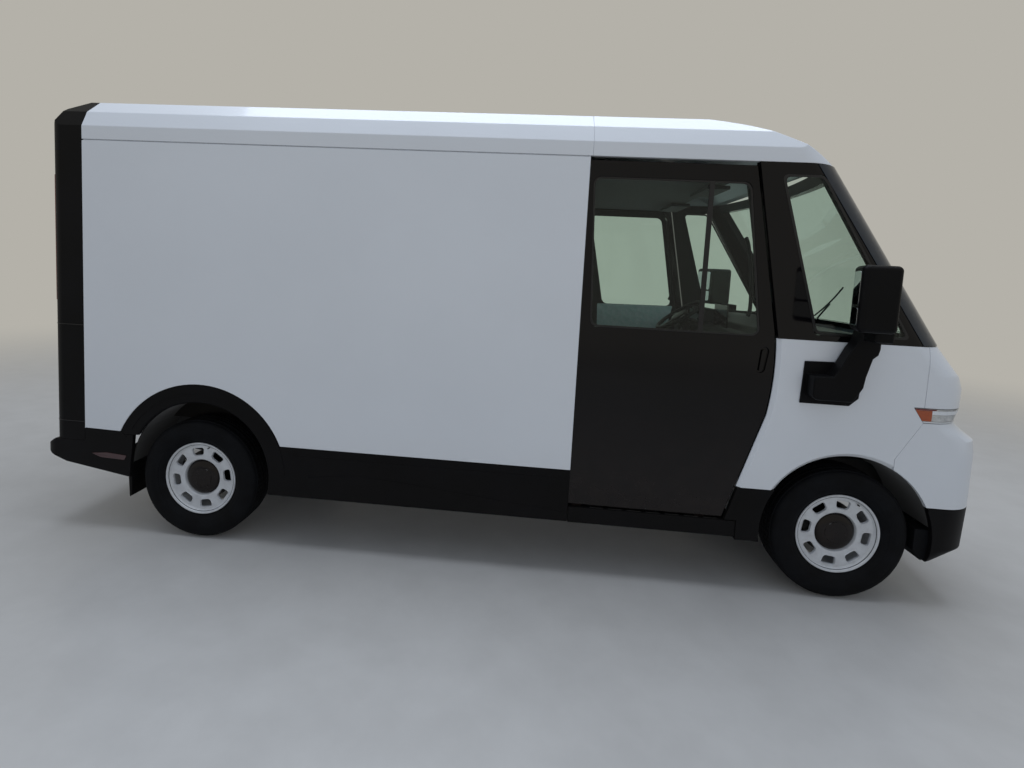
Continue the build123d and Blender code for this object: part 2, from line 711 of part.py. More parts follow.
# ---- cab fittings ----------------------------------------------------------------------
doorway_y = (-560, 60)
doorway_high_z = panel_top_z - 268
cab_inner = half_width - wall


def bulkhead():
    panel = block((bulkhead_x, bulkhead_x + 40), (-cab_inner, cab_inner), (floor_top_z, roof_bottom_z))
    return panel - block((bulkhead_x - 1, bulkhead_x + 41), doorway_y, (floor_top_z + 30, doorway_high_z))


def bulkhead_door():
    face_x = bulkhead_x + 40 + running_gap
    return block((face_x, face_x + 28), (doorway_y[0] - 25, doorway_y[1] + 25),
                 (floor_top_z + 8, doorway_high_z + 30))


column_tilt = 55                        # degrees between the column and the ground
steering_wheel_radius = 200
hub_depth = 50
column_length = 330
seat_y = 450
tilt_to_driver = Pos(front_axle_x - 620, seat_y, belt_z + 10) * Rot(0, column_tilt - 90, 0)
dash_low_z = front_arch_z + arch_radius + liner_thickness + 34


def dashboard():
    """Dashboard across the cab, with the steering column."""
    view = rounded(Polygon(
        (front_axle_x - 576, belt_z - 175), (front_axle_x - 520, belt_z - 60),
        (front_axle_x - 430, belt_z - 25), (front_axle_x + 330, belt_z - 25),
        (front_axle_x + 330, dash_low_z), (front_axle_x - 440, dash_low_z),
        (front_axle_x - 530, belt_z - 385)), 30)
    slab = side_slab(view, -half_width, half_width)
    inset = shell + seat_gap
    slab &= (front_stack(nose_levels, inset) + front_stack(lamp_levels, inset)
             + front_stack(bumper_levels, inset))
    outside = door_region(side_front_x - 300, 400, belt_z + 5, 20)
    side_gap = side_slab(outside, -half_width, -half_width + 200)
    slab -= side_gap
    slab -= left_of(side_gap)
    column = Pos(0, 0, -hub_depth - running_gap - column_length / 2) * Cylinder(40, column_length)
    return slab + tilt_to_driver * column


seat_rear_x = bulkhead_x + 110


def driver_seat():
    pedestal = block((seat_rear_x + 130, seat_rear_x + 560), (seat_y - 190, seat_y + 190),
                     (floor_top_z, floor_top_z + 300))
    cushion = block((seat_rear_x + 80, seat_rear_x + 620), (seat_y - 255, seat_y + 255),
                    (floor_top_z + 300, floor_top_z + 430))
    back = Polygon((seat_rear_x + 90, floor_top_z + 430), (seat_rear_x + 240, floor_top_z + 430),
                   (seat_rear_x + 130, floor_top_z + 1010), (seat_rear_x, floor_top_z + 1010))
    head = Polygon((seat_rear_x + 5, floor_top_z + 1010), (seat_rear_x + 95, floor_top_z + 1010),
                   (seat_rear_x + 85, floor_top_z + 1190), (seat_rear_x - 5, floor_top_z + 1190))
    return (pedestal + cushion + side_slab(back, seat_y - 250, seat_y + 250)
            + side_slab(head, seat_y - 130, seat_y + 130))


def steering_wheel():
    """Rim, hub and three spokes on the column, drawn flat and tilted to the driver."""
    ring = Torus(steering_wheel_radius, 16)
    ring += Pos(0, 0, -hub_depth / 2) * Cylinder(62, hub_depth)
    for angle in (90, 180, 270):
        ring += Rot(0, 0, angle) * Pos(steering_wheel_radius / 2 + 20, 0, -6) * Box(
            steering_wheel_radius - 44, 34, 12)
    return tilt_to_driver * ring


def mirrors():
    """Folded-out mirror: a base on the fender, an arm and a tall head turned to the driver."""
    outer_y = -half_width
    base = Polygon((front_axle_x - 302, 1389), (front_axle_x - 310, 1151), (front_axle_x - 46, 1150),
                   (front_axle_x + 1, 1195), (front_axle_x + 9, 1317), (front_axle_x - 40, 1395))
    piece = side_slab(base, outer_y - 12, outer_y)
    arm = Polygon((front_axle_x - 285, 1318), (front_axle_x - 285, 1205), (front_axle_x - 258, 1188),
                  (front_axle_x - 75, 1188), (front_axle_x - 28, 1270), (front_axle_x - 20, 1330),
                  (front_axle_x + 5, 1430), (front_axle_x + 30, 1452), (front_axle_x + 38, 1485),
                  (front_axle_x + 38, 1600), (front_axle_x - 60, 1600), (front_axle_x - 80, 1520),
                  (front_axle_x - 105, 1480), (front_axle_x - 165, 1352), (front_axle_x - 185, 1322))
    piece += side_slab(arm, outer_y - 100, outer_y - 12)
    piece += block((front_axle_x - 60, front_axle_x + 38), (outer_y - 200, outer_y - 60), (1530, 1600))
    plan = Polygon((front_axle_x - 246, outer_y - 365), (front_axle_x - 60, outer_y - 365),
                   (front_axle_x - 20, outer_y - 300), (front_axle_x + 20, outer_y - 135),
                   (front_axle_x - 161, outer_y - 135))
    head = extrude(Pos(0, 0, 1590) * plan, amount=335, dir=(0, 0, 1))
    head = fillet(head.edges(), 26)
    return both(piece + head)


# ---- write every node ------------------------------------------------------------------
right_side = body_side()
save("body_side_right", right_side)
save("body_side_left", left_of(right_side))
claddings = sill_cladding()
save("sill_cladding", *both(claddings[0]), *both(claddings[1]))
save("side_steps", *both(side_step()))
save("cargo_roof", cargo_roof())
save("cab_roof", cab_roof())
save("cab_frame", cab_frame())
save("fixed_glass", *fixed_glass())
save("fenders", fenders())
save("nose_panel", nose_panel())
save("headlamps", headlamps())
save("nose_band", nose_band())
save("front_bumper", front_bumper())
save("front_skirt", front_skirt())
save("rear_surround", rear_surround())
save("roll_up_door", roll_up_door())
save("tail_lamps", *tail_lamps())
save("rear_bumper", rear_bumper())
save("mudflaps", *mudflaps())
save("chassis_frame", chassis_frame())
save("battery_pack", battery_pack())
save("wheel_liners", *wheel_liners())
save("floor", floor())
save("rear_axle", rear_axle())
save("front_suspension", front_suspension())
save("bulkhead", bulkhead())
save("bulkhead_door", bulkhead_door())
save("dashboard", dashboard())
save("driver_seat", driver_seat())
save("steering_wheel", steering_wheel())
save("mirrors", *mirrors())
right_door, right_glass = side_door(), side_glass()
save("side_door_right", right_door)
save("side_door_left", left_of(right_door))
save("side_glass_right", right_glass)
save("side_glass_left", left_of(right_glass))
save("knuckle_right", knuckle())
save("knuckle_left", left_of(knuckle()))
for axle_name, axle_x in (("front", front_axle_x), ("rear", rear_axle_x)):
    for side_name, side in (("left", 1), ("right", -1)):
        save(f"tyre_{axle_name}_{side_name}", tyre(axle_x, side))
        save(f"rim_{axle_name}_{side_name}", rim(axle_x, side))
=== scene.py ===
import json
import math

import bmesh
import bpy
from bpy.props import FloatProperty, IntProperty, PointerProperty, StringProperty
from mathutils import Matrix, Vector

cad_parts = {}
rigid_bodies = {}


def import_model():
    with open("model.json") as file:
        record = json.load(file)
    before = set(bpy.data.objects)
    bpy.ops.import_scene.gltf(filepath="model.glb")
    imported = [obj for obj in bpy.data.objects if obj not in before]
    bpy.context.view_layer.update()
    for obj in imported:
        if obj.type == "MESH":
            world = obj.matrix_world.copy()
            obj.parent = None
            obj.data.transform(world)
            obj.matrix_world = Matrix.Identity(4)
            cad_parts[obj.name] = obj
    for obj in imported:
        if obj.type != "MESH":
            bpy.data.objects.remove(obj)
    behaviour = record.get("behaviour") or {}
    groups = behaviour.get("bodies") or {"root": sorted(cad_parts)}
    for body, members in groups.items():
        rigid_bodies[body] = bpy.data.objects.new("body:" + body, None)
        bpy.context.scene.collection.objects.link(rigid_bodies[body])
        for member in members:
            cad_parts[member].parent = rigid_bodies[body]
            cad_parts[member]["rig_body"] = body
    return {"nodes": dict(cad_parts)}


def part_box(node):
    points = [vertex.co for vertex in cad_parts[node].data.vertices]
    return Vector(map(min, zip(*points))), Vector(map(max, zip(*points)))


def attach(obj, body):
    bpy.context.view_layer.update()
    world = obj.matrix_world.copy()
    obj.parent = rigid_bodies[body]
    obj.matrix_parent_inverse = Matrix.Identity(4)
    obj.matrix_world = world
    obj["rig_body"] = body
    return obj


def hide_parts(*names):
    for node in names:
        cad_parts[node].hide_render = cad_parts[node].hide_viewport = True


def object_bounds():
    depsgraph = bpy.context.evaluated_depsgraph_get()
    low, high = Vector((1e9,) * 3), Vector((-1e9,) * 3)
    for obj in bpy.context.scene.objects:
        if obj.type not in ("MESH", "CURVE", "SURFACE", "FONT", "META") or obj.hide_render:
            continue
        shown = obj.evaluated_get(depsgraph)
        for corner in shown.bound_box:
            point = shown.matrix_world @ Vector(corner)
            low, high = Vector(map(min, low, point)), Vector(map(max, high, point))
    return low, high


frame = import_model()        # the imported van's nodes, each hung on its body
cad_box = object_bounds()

bl_info = {
    "name": "Electric step-in delivery van",
    "version": (1, 0, 0),
    "blender": (4, 5, 0),
    "location": "View3D > Sidebar > Van",
    "description": "Body, doors, wheels, cab and underside of a delivery van, built round its CAD model",
    "category": "Add Mesh",
}

MM = 0.001

# ---- places read from the frame ----------------------------------------------------------
PANEL_LOW, PANEL_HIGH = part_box("body_side_right")
HALF_WIDTH = -PANEL_LOW.y
OUTER_Y = -HALF_WIDTH                   # the right side, on which both sides are drawn
FRONT_TYRE, REAR_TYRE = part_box("tyre_front_right"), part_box("tyre_rear_right")
FRONT_AXLE_X = (FRONT_TYRE[0].x + FRONT_TYRE[1].x) / 2
REAR_AXLE_X = (REAR_TYRE[0].x + REAR_TYRE[1].x) / 2
TYRE_RADIUS = REAR_TYRE[1].z / 2
WHEEL_Y = -(REAR_TYRE[0].y + REAR_TYRE[1].y) / 2
BELT_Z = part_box("cab_frame")[0].z
RAIL_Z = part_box("cargo_roof")[0].z
CROWN_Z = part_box("cargo_roof")[1].z
ROOF_SEAM_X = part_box("cargo_roof")[1].x
FRONT_X, REAR_X = cad_box[1].x, cad_box[0].x
DOOR_LOW, DOOR_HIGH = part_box("side_door_right")
GLASS_LOW, GLASS_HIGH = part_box("side_glass_right")
HOOP_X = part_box("rear_surround")[0].x
SIDES = (("right", -1), ("left", 1))
FRONT_ARCH = Vector((FRONT_AXLE_X + 0.012, 0, TYRE_RADIUS + 0.002))
FRONT_ARCH_RADIUS = TYRE_RADIUS + 0.086
REAR_ARCH = Vector((REAR_AXLE_X + 0.014, 0, TYRE_RADIUS + 0.046))
REAR_ARCH_RADIUS = TYRE_RADIUS + 0.071
SCREEN_RAKE = 645 / 956                 # the windscreen runs back this far for each metre up
SCREEN_FOOT_X = FRONT_X - 0.265         # where the windscreen's middle meets the belt line
DRIVER_Y = 0.45                         # middle of the steering wheel and the pedals


# ---- sizes and colours that a user would change --------------------------------------------
def hex_colour(name, default, about):
    return StringProperty(name=name, default=default, description=about)


class VanColours(bpy.types.PropertyGroup):
    """Colours as sRGB hex values"""
    paint: hex_colour("Body paint", "DDE1E6", "Solid white paint of the body panels")
    gloss_black: hex_colour("Gloss black", "060507", "Door and pillar paint")
    moulding: hex_colour("Black moulding", "0C0C0E", "Moulded cladding, hoop and bumpers")
    wheel: hex_colour("Wheel paint", "D0D3D6", "Silver-white wheel enamel")
    rubber: hex_colour("Rubber", "0D0E12", "Tyres and seals")
    glass: hex_colour("Glass tint", "F0F8F5", "What a pane of glass lets through")
    trim: hex_colour("Cab trim", "101114", "Dashboard and door trims")
    cloth: hex_colour("Seat cloth", "2B2D32", "Woven seat cover")
    steel: hex_colour("Frame paint", "1B1C1E", "Electrocoat on the rails and springs")
    ground: hex_colour("Ground", "B4B1A9", "Studio background")
    floor: hex_colour("Floor", "C8C5C0", "Studio floor near the van")


class VanSizes(bpy.types.PropertyGroup):
    """Sizes of the finish"""
    panel_edge: FloatProperty(name="Panel edge", default=3 * MM, unit="LENGTH",
                              description="Radius on the edges of the body panels")
    moulded_edge: FloatProperty(name="Moulded edge", default=4 * MM, unit="LENGTH",
                                description="Radius on the edges of the black mouldings")
    arch_lip: FloatProperty(name="Arch lip", default=20 * MM, unit="LENGTH",
                            description="Width of the chamfer round the wheel arch and the door edge")
    tread_pitches: IntProperty(name="Tread pitches", default=72, description="Tread blocks round a tyre")
    hand_holes: IntProperty(name="Hand holes", default=8, description="Holes round a wheel disc")


class VanCamera(bpy.types.PropertyGroup):
    """The camera at eye height off the right side"""
    yaw: FloatProperty(name="Yaw", default=0.085, subtype="ANGLE", description="Turn to the left of +Y")
    pitch: FloatProperty(name="Pitch", default=0.0873, subtype="ANGLE", description="Tilt down")
    roll: FloatProperty(name="Roll", default=-0.0512, subtype="ANGLE", description="Roll to the right")
    lens: FloatProperty(name="Lens", default=19.38, description="Focal length in millimetres")


# ---- materials -----------------------------------------------------------------------------
def linear(colour):
    """Linear RGBA of an sRGB hex value."""
    channels = [int(colour[i:i + 2], 16) / 255 for i in (0, 2, 4)]
    return [c / 12.92 if c <= 0.04045 else ((c + 0.055) / 1.055) ** 2.4 for c in channels] + [1]


def shaded(colour, factor):
    """The hex value with each channel times factor."""
    return "".join(f"{min(255, round(int(colour[i:i + 2], 16) * factor)):02X}" for i in (0, 2, 4))


def add(tree, kind, inputs=(), ramp=(), **settings):
    """Adds a shader node with its settings; an input is a value or a socket to link."""
    node = tree.nodes.new("ShaderNode" + kind)
    for name, value in settings.items():
        setattr(node, name, value)
    for index, (position, colour) in enumerate(ramp):
        element = node.color_ramp.elements[index]
        element.position, element.color = position, linear(colour)
    for name, value in dict(inputs).items():
        if isinstance(value, bpy.types.NodeSocket):
            tree.links.new(value, node.inputs[name])
        else:
            node.inputs[name].default_value = value
    return node


def bumped(tree, place, size, strength, distance):
    """Normals roughened by grains about size metres across."""
    grains = add(tree, "TexNoise", {"Vector": place, "Scale": 1 / size, "Detail": 3, "Roughness": 0.55})
    bump = add(tree, "Bump", {"Height": grains.outputs["Fac"], "Strength": strength, "Distance": distance})
    return bump.outputs["Normal"]


def mottled(tree, place, size, low, high):
    """A soft variation between two sRGB colours, in patches about size metres across."""
    patches = add(tree, "TexNoise", {"Vector": place, "Scale": 1 / size, "Detail": 4, "Roughness": 0.6})
    blend = add(tree, "ValToRGB", {"Fac": patches.outputs["Fac"]}, ramp=((0.35, low), (0.65, high)))
    return blend.outputs["Color"]


def dusty(tree, place, clean, dust, top, share):
    """Road dust over a clean colour, thickest near the ground and gone at the height top."""
    height = add(tree, "SeparateXYZ", {"Vector": place}).outputs["Z"]
    fade = add(tree, "MapRange", {"Value": height, "From Min": 0.15, "From Max": top, "To Min": share,
                                  "To Max": 0})
    streaks = add(tree, "TexNoise", {"Vector": place, "Scale": 9, "Detail": 5, "Roughness": 0.65})
    amount = add(tree, "Math", {0: fade.outputs["Result"], 1: streaks.outputs["Fac"]}, operation="MULTIPLY")
    mix = add(tree, "Mix", {"Factor": amount.outputs[0], 6: clean, 7: linear(dust)}, data_type="RGBA")
    return mix.outputs[2]


def plain(size, low, high, roughness, grain=None, dust=None, grain_input="Normal", **inputs):
    """A maker for finishes mottled between two colours, in patches about size metres across.

    A colour is a hex value, or the name of a VanColours colour and a factor. The roughness is one
    number, or a noise's scale, detail and roughness with the two ends of the range. The grain is its
    size, strength and depth, and the dust its colour, height and share. An underscore in the name of
    another input stands for a space.
    """
    def make(tree, place, colours):
        ends = [end if isinstance(end, str) else shaded(getattr(colours, end[0]), end[1])
                for end in (low, high)]
        look = {name.replace("_", " "): value for name, value in inputs.items()}
        look["Base Color"] = mottled(tree, place, size, *ends)
        look["Roughness"] = roughness
        if dust:
            look["Base Color"] = dusty(tree, place, look["Base Color"], *dust)
        if isinstance(roughness, tuple):
            scale, detail, rough, least, most = roughness
            wear = add(tree, "TexNoise", {"Vector": place, "Scale": scale, "Detail": detail, "Roughness": rough})
            haze = add(tree, "MapRange", {"Value": wear.outputs["Fac"], "To Min": least, "To Max": most})
            look["Roughness"] = haze.outputs["Result"]
        if grain:
            look[grain_input] = bumped(tree, place, *grain)
        return add(tree, "BsdfPrincipled", look)
    return make


def metal(low, high, rough, grain, metallic=1.0):
    """A maker for bare, plated or machined metals, with fine marks of how they were worked."""
    return plain(0.04, low, high, (40, 5, 0.5, rough * 0.7, rough * 1.3), (grain, 0.15, 0.2 * MM),
                 Metallic=metallic)


def needled_felt(low, high):
    """A maker for formed liners: fibres are drawn 2 mm wide so that they show."""
    return plain(2 * MM, low, high, 0.95, (2 * MM, 0.6, 0.6 * MM), Sheen_Weight=0.2, Sheen_Roughness=0.5)


def dyed_acrylic(tint, deep):
    """A maker for reflectors and lit strips: glossy acrylic with prisms behind its face."""
    def make(tree, place, colours):
        prisms = add(tree, "TexVoronoi", {"Vector": place, "Scale": 1 / (4 * MM)})
        blend = add(tree, "ValToRGB", {"Fac": prisms.outputs["Distance"]}, ramp=((0, tint), (1, deep)))
        return add(tree, "BsdfPrincipled", {"Base Color": blend.outputs["Color"], "Roughness": 0.12,
                                            "IOR": 1.49, "Coat Weight": 0.8, "Coat Roughness": 0.03})
    return make


def stove_enamel(tree, place, colours):
    # Silver-white stove enamel on pressed steel: satin, with patches of brake dust.
    tint = mottled(tree, place, 0.05, shaded(colours.wheel, 0.94), colours.wheel)
    grime = add(tree, "TexNoise", {"Vector": place, "Scale": 28, "Detail": 6, "Roughness": 0.7})
    mask = add(tree, "MapRange", {"Value": grime.outputs["Fac"], "From Min": 0.56, "From Max": 0.8,
                                  "To Max": 0.4})
    mix = add(tree, "Mix", {"Factor": mask.outputs["Result"], 6: tint, 7: linear("8E8A82")}, data_type="RGBA")
    return add(tree, "BsdfPrincipled", {"Base Color": mix.outputs[2], "Metallic": 0.1, "Roughness": 0.36,
                                        "Coat Weight": 0.3, "Coat Roughness": 0.15})


def tinted_float_glass(tree, place, colours):
    # Green-tinted float glass, tempered: clear, with a sharp reflection and a faintly uneven tint.
    tint = mottled(tree, place, 0.6, shaded(colours.glass, 0.99), colours.glass)
    grazing = add(tree, "LayerWeight", {"Blend": 0.5}).outputs["Facing"]
    steep = add(tree, "Math", {0: grazing, 1: 5.0}, operation="POWER").outputs[0]
    share = add(tree, "MapRange", {"Value": steep, "To Min": 0.02, "To Max": 1.0}).outputs["Result"]
    clear = add(tree, "BsdfTransparent", {"Color": tint}).outputs[0]
    mirror = add(tree, "BsdfGlossy", {"Roughness": 0.0}).outputs[0]
    return add(tree, "MixShader", {0: share, 1: clear, 2: mirror})


def woven_cloth(tree, place, colours):
    # Plain-woven polyester seat cloth: a 2 mm weave drawn at 4 mm so that it shows, with a soft sheen.
    threads = {"Vector": place, "Scale": 1 / (4 * MM) / 6.283, "Distortion": 0.4}
    warp, weft = (add(tree, "TexWave", threads, bands_direction=way).outputs["Fac"] for way in "XZ")
    weave = add(tree, "Math", {0: warp, 1: weft}, operation="MAXIMUM").outputs[0]
    blend = add(tree, "ValToRGB", {"Fac": weave},
                ramp=((0, shaded(colours.cloth, 0.6)), (1, shaded(colours.cloth, 1.2))))
    bump = add(tree, "Bump", {"Height": weave, "Strength": 0.5, "Distance": 0.6 * MM})
    return add(tree, "BsdfPrincipled", {
        "Base Color": blend.outputs["Color"], "Roughness": 0.85, "Sheen Weight": 0.35, "Sheen Roughness": 0.4,
        "Normal": bump.outputs["Normal"]})


def textured_vinyl(tree, place, colours):
    # Pressed vinyl flooring: mid grey, hard-wearing, with a coin pattern and scuffs.
    coins = add(tree, "TexVoronoi", {"Vector": place, "Scale": 1 / (30 * MM), "Randomness": 0.0})
    edge = add(tree, "MapRange", {"Value": coins.outputs["Distance"], "From Min": 0.28, "From Max": 0.34})
    bump = add(tree, "Bump", {"Height": edge.outputs["Result"], "Strength": 0.4, "Distance": 1 * MM},
               invert=True)
    return add(tree, "BsdfPrincipled", {"Base Color": mottled(tree, place, 0.15, "3A3B3D", "505153"),
                                        "Roughness": 0.6, "Normal": bump.outputs["Normal"]})


def protective_film(tree, place, colours):
    # Blown polyethylene film left on a new trim: pale, milky and crumpled.
    crumple = add(tree, "TexVoronoi", {"Vector": place, "Scale": 1 / (45 * MM)}).outputs["Distance"]
    bump = add(tree, "Bump", {"Height": crumple, "Strength": 0.5, "Distance": 8 * MM})
    return add(tree, "BsdfPrincipled", {"Base Color": mottled(tree, place, 0.03, "DFF6F1", "F6FFFD"),
                                        "Roughness": 0.25, "IOR": 1.5, "Normal": bump.outputs["Normal"]})


def polished_concrete(tree, place, colours):
    # Polished concrete near the van, mottled and half glossy, that fades into the background further out.
    matt = add(tree, "BsdfPrincipled", {
        "Base Color": mottled(tree, place, 0.3, shaded(colours.floor, 0.97), colours.floor), "Roughness": 0.32,
        "IOR": 1.45})
    glow = add(tree, "Emission", {"Color": linear(colours.ground), "Strength": 1.0})
    flat = add(tree, "VectorMath", {0: place}, operation="LENGTH")
    fade = add(tree, "MapRange", {"Value": flat.outputs["Value"], "From Min": 5, "From Max": 14},
               interpolation_type="SMOOTHSTEP")
    return add(tree, "MixShader", {0: fade.outputs["Result"], 1: matt.outputs[0], 2: glow.outputs[0]})


MATERIALS = {
    # Solid white acrylic enamel, clear-coated: bright and smooth; a 2 mm orange peel is drawn coarser.
    "white_enamel": plain(0.9, ("paint", 0.985), ("paint", 1), 0.34, (6 * MM, 0.04, 0.1 * MM),
                          ("A39E93", 0.8, 0.22), "Coat Normal", IOR=1.5, Coat_Weight=0.5,
                          Coat_Roughness=0.08),
    # Black acrylic enamel, polished: near-black with mirror reflections and wiping haze.
    "piano_black_enamel": plain(0.5, ("gloss_black", 1), ("gloss_black", 1.6), (5, 5, 0.7, 0.02, 0.14),
                                dust=("5A4A40", 1.15, 0.22), IOR=1.34),
    # Black ABS, injection moulded: charcoal and matt; the leather grain of 0.5 mm is drawn coarser.
    "grained_abs": plain(0.35, ("moulding", 0.82), ("moulding", 1.12), 0.5, (2 * MM, 0.35, 0.3 * MM),
                         ("3A342E", 0.85, 0.12), IOR=1.49, Specular_IOR_Level=0.12),
    # Moulded polypropylene of a cab interior: dark grey, with a soft pebbled grain.
    "pebbled_polypropylene": plain(0.2, ("trim", 0.85), ("trim", 1.15), 0.5, (2.5 * MM, 0.3, 0.3 * MM),
                                   IOR=1.49, Specular_IOR_Level=0.25),
    # Vulcanised carbon-black rubber: blue-black and dull, chalky where road dust sits in the relief.
    "vulcanised_rubber": plain(0.12, ("rubber", 0.8), ("rubber", 1.25), 0.66, (3 * MM, 0.25, 0.3 * MM),
                               ("3C3833", 0.75, 0.07), IOR=1.52, Specular_IOR_Level=0.1),
    # Extruded EPDM: black, smooth and slightly waxy.
    "seal_rubber": plain(0.08, "09090B", "111114", 0.42, (4 * MM, 0.1, 0.2 * MM), IOR=1.5),
    "stove_enamel": stove_enamel,
    "tinted_float_glass": tinted_float_glass,
    # Moulded polycarbonate under hard coat: clear, with fine flutes inside.
    "clear_polycarbonate": plain(0.03, "F2F5F6", "FBFCFD", 0.04, (5 * MM, 0.08, 0.3 * MM), IOR=1.58,
                                 Transmission_Weight=0.9),
    # Moulded acrylic, dyed in the mass: deep, glossy and in its own colour.
    "amber_acrylic": dyed_acrylic("C2581F", "7A2A0A"),
    "red_acrylic": dyed_acrylic("8E1018", "4A0508"),
    "smoked_red_acrylic": dyed_acrylic("4A1A20", "240A0E"),
    "frosted_acrylic": dyed_acrylic("F0F2F4", "C9CED4"),
    # Vacuum-metallised plastic: bright and mirror-like.
    "metallised_reflector": metal("C9CCD0", "E4E6E8", 0.12, 3 * MM),
    # Mirror glass, silvered behind: sharp and nearly flat.
    "silvered_glass": metal("C6CCD2", "D2D8DD", 0.02, 0.2),
    # Cast iron, turned, with fine tool marks; its grey is darkened as painted shade, so that the brake disc behind the
    # hand holes reads dark.
    "cast_iron_painted_shade": metal("393837", "4E4C4A", 0.35, 1.5 * MM),
    # Zinc-plated steel: pale grey with the bath's faint bloom.
    "zinc_plated_steel": metal("8D8F90", "A9ABAC", 0.3, 3 * MM),
    # Mill-finish extruded aluminium: soft grey, with the die's faint drag.
    "extruded_aluminium": metal("8E9093", "A6A8AA", 0.42, 4 * MM),
    # Part-metallic grey on the seal along the door's edge: its sheen is real, and its base, lighter than the rubber,
    # is a painted highlight.
    "seal_with_painted_highlight": metal("3A3C40", "4A4C50", 0.3, 2 * MM, metallic=0.6),
    # Black electrocoat on welded steel: satin, with road film.
    "electrocoat": plain(0.2, ("steel", 0.85), ("steel", 1.2), 0.45, (5 * MM, 0.15, 0.3 * MM),
                         ("5C544A", 0.9, 0.6), IOR=1.5),
    # Needled polyester felt, heat-formed: soft, fibrous and matt.
    "liner_felt": needled_felt("0C0B0B", "1E1B18"),
    "headliner_felt": needled_felt("0E0F12", "16181B"),
    # Float glass over a fired ceramic frit, with the gloss of the glass in front; its blue-black base is a painted
    # reflection of the sky on black frit.
    "fritted_glass_painted_sky": plain(0.3, "141E28", "1A2733", 0.03, IOR=1.5),
    # Smoke-tinted safety glass: grey, sharp reflections, nearly dark from the bright side.
    "smoked_glass": plain(0.3, "5A5F62", "62686B", 0.02, IOR=1.45, Transmission_Weight=1.0),
    "woven_cloth": woven_cloth,
    "textured_vinyl": textured_vinyl,
    "protective_film": protective_film,
    "polished_concrete": polished_concrete,
    # Light grey melamine laminate on a composite panel: satin, with a fine pebbled press.
    "grey_laminate": plain(0.25, "6E7173", "7C7F81", 0.5, (3 * MM, 0.12, 0.2 * MM)),
    # Baked enamel on an aluminium blank: plain white and semi-gloss.
    "plate_enamel": plain(0.06, "DADAD6", "E6E6E2", 0.35, (4 * MM, 0.05, 0.1 * MM)),
}

# a finish, with the record's slot that it is for
WHITE = ("white_enamel", "white_paint")
PLATE = ("plate_enamel", "white_paint")
GLOSS = ("piano_black_enamel", "black_gloss")
MOULDED = ("grained_abs", "black_moulded")
SEAL = ("seal_rubber", "black_moulded")
TRIM = ("pebbled_polypropylene", "dash_plastic")
PEDAL = ("seal_rubber", "dash_plastic")
GLASS = ("tinted_float_glass", "glass_tinted")
LENS = ("clear_polycarbonate", "lamp_clear")
REFLECTOR = ("metallised_reflector", "lamp_clear")
LIT = ("frosted_acrylic", "lamp_clear")
RED = ("red_acrylic", "lamp_red")
AMBER = ("amber_acrylic", "lamp_red")
ALUMINIUM = ("extruded_aluminium", "pack_aluminium")
ZINC = ("zinc_plated_steel", "cast_steel")
IRON = ("cast_iron_painted_shade", "cast_steel")
COATED = ("electrocoat", "cast_steel")
LINER = ("liner_felt", "liner_plastic")
LAMINATE = ("grey_laminate", "liner_plastic")
HEADLINER = ("headliner_felt", "seat_fabric")


def finish_of(name):
    """The material of that name, made the first time it is asked for."""
    material = bpy.data.materials.get(name)
    if not material:
        material = bpy.data.materials.new(name)
        material.use_nodes = True
        tree = material.node_tree
        tree.nodes.clear()
        place = add(tree, "TexCoord").outputs["Object"]
        shader = MATERIALS[name](tree, place, bpy.context.scene.van_colours)
        add(tree, "OutputMaterial", {"Surface": shader.outputs[0]})
    return material


# ---- modelling -----------------------------------------------------------------------------
def everything(bm):
    return bm.verts[:] + bm.edges[:] + bm.faces[:]


def only(geom, kind):
    return [item for item in geom if isinstance(item, kind)]


def copy_of(node, merge=0.02 * MM, whole_faces=True):
    """A merged copy of a CAD node, with every flat face whole unless told otherwise."""
    bm = bmesh.new()
    bm.from_mesh(frame["nodes"][node].data)
    bmesh.ops.remove_doubles(bm, verts=bm.verts, dist=merge)
    if whole_faces:
        bmesh.ops.dissolve_limit(bm, angle_limit=math.radians(0.3), verts=bm.verts, edges=bm.edges)
    return bm


def middle(edge):
    return (edge.verts[0].co + edge.verts[1].co) / 2


def on_outside(point):
    return abs(point.y) > HALF_WIDTH - 1 * MM


def round_edges(bm, width, segments=2, sharp=25, where=None):
    """Rounds the edges that turn more than sharp degrees."""
    edges = [edge for edge in bm.edges if edge.is_manifold and edge.calc_face_angle() > math.radians(sharp)
             and (where is None or where(middle(edge)))]
    bmesh.ops.bevel(bm, geom=edges, offset=width, offset_type="OFFSET", segments=segments, profile=0.5,
                    affect="EDGES", clamp_overlap=False, loop_slide=True, material=-1)


def round_corners(bm, corners, width):
    """Rounds a flat drawing's corners."""
    bmesh.ops.bevel(bm, geom=corners, offset=width, offset_type="OFFSET", segments=5, profile=0.5,
                    affect="VERTICES", clamp_overlap=True, material=-1)


def in_scene(name, data):
    """A new object of that data in the scene."""
    thing = bpy.data.objects.new(name, data)
    bpy.context.scene.collection.objects.link(thing)
    return thing


def make_piece(bm, name, look, body="van_body", stands_for=(), smooth=35):
    """Turns a bmesh, or a list of them, into a piece that rides on a body."""
    if isinstance(bm, list):
        bm = joined(*bm)
    finish, slot = look
    mesh = bpy.data.meshes.new(name)
    bm.to_mesh(mesh)
    bm.free()
    if "custom_normal" in mesh.attributes:
        mesh.attributes.remove(mesh.attributes["custom_normal"])
    mesh.shade_smooth()
    mesh.set_sharp_from_angle(angle=math.radians(smooth))
    piece = in_scene(name, mesh)
    mesh.materials.clear()
    mesh.materials.append(finish_of(finish))
    weights = piece.modifiers.new("Flat faces lead", "WEIGHTED_NORMAL")
    weights.keep_sharp = True
    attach(piece, body)
    if stands_for:
        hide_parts(*stands_for)
    return piece


def second_finish(piece, finish, where):
    """Gives the faces picked by their middle and normal another material."""
    piece.data.materials.append(finish_of(finish))
    for face in piece.data.polygons:
        if where(face.center, face.normal):
            face.material_index = 1


def body_of(node):
    return frame["nodes"][node]["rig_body"]


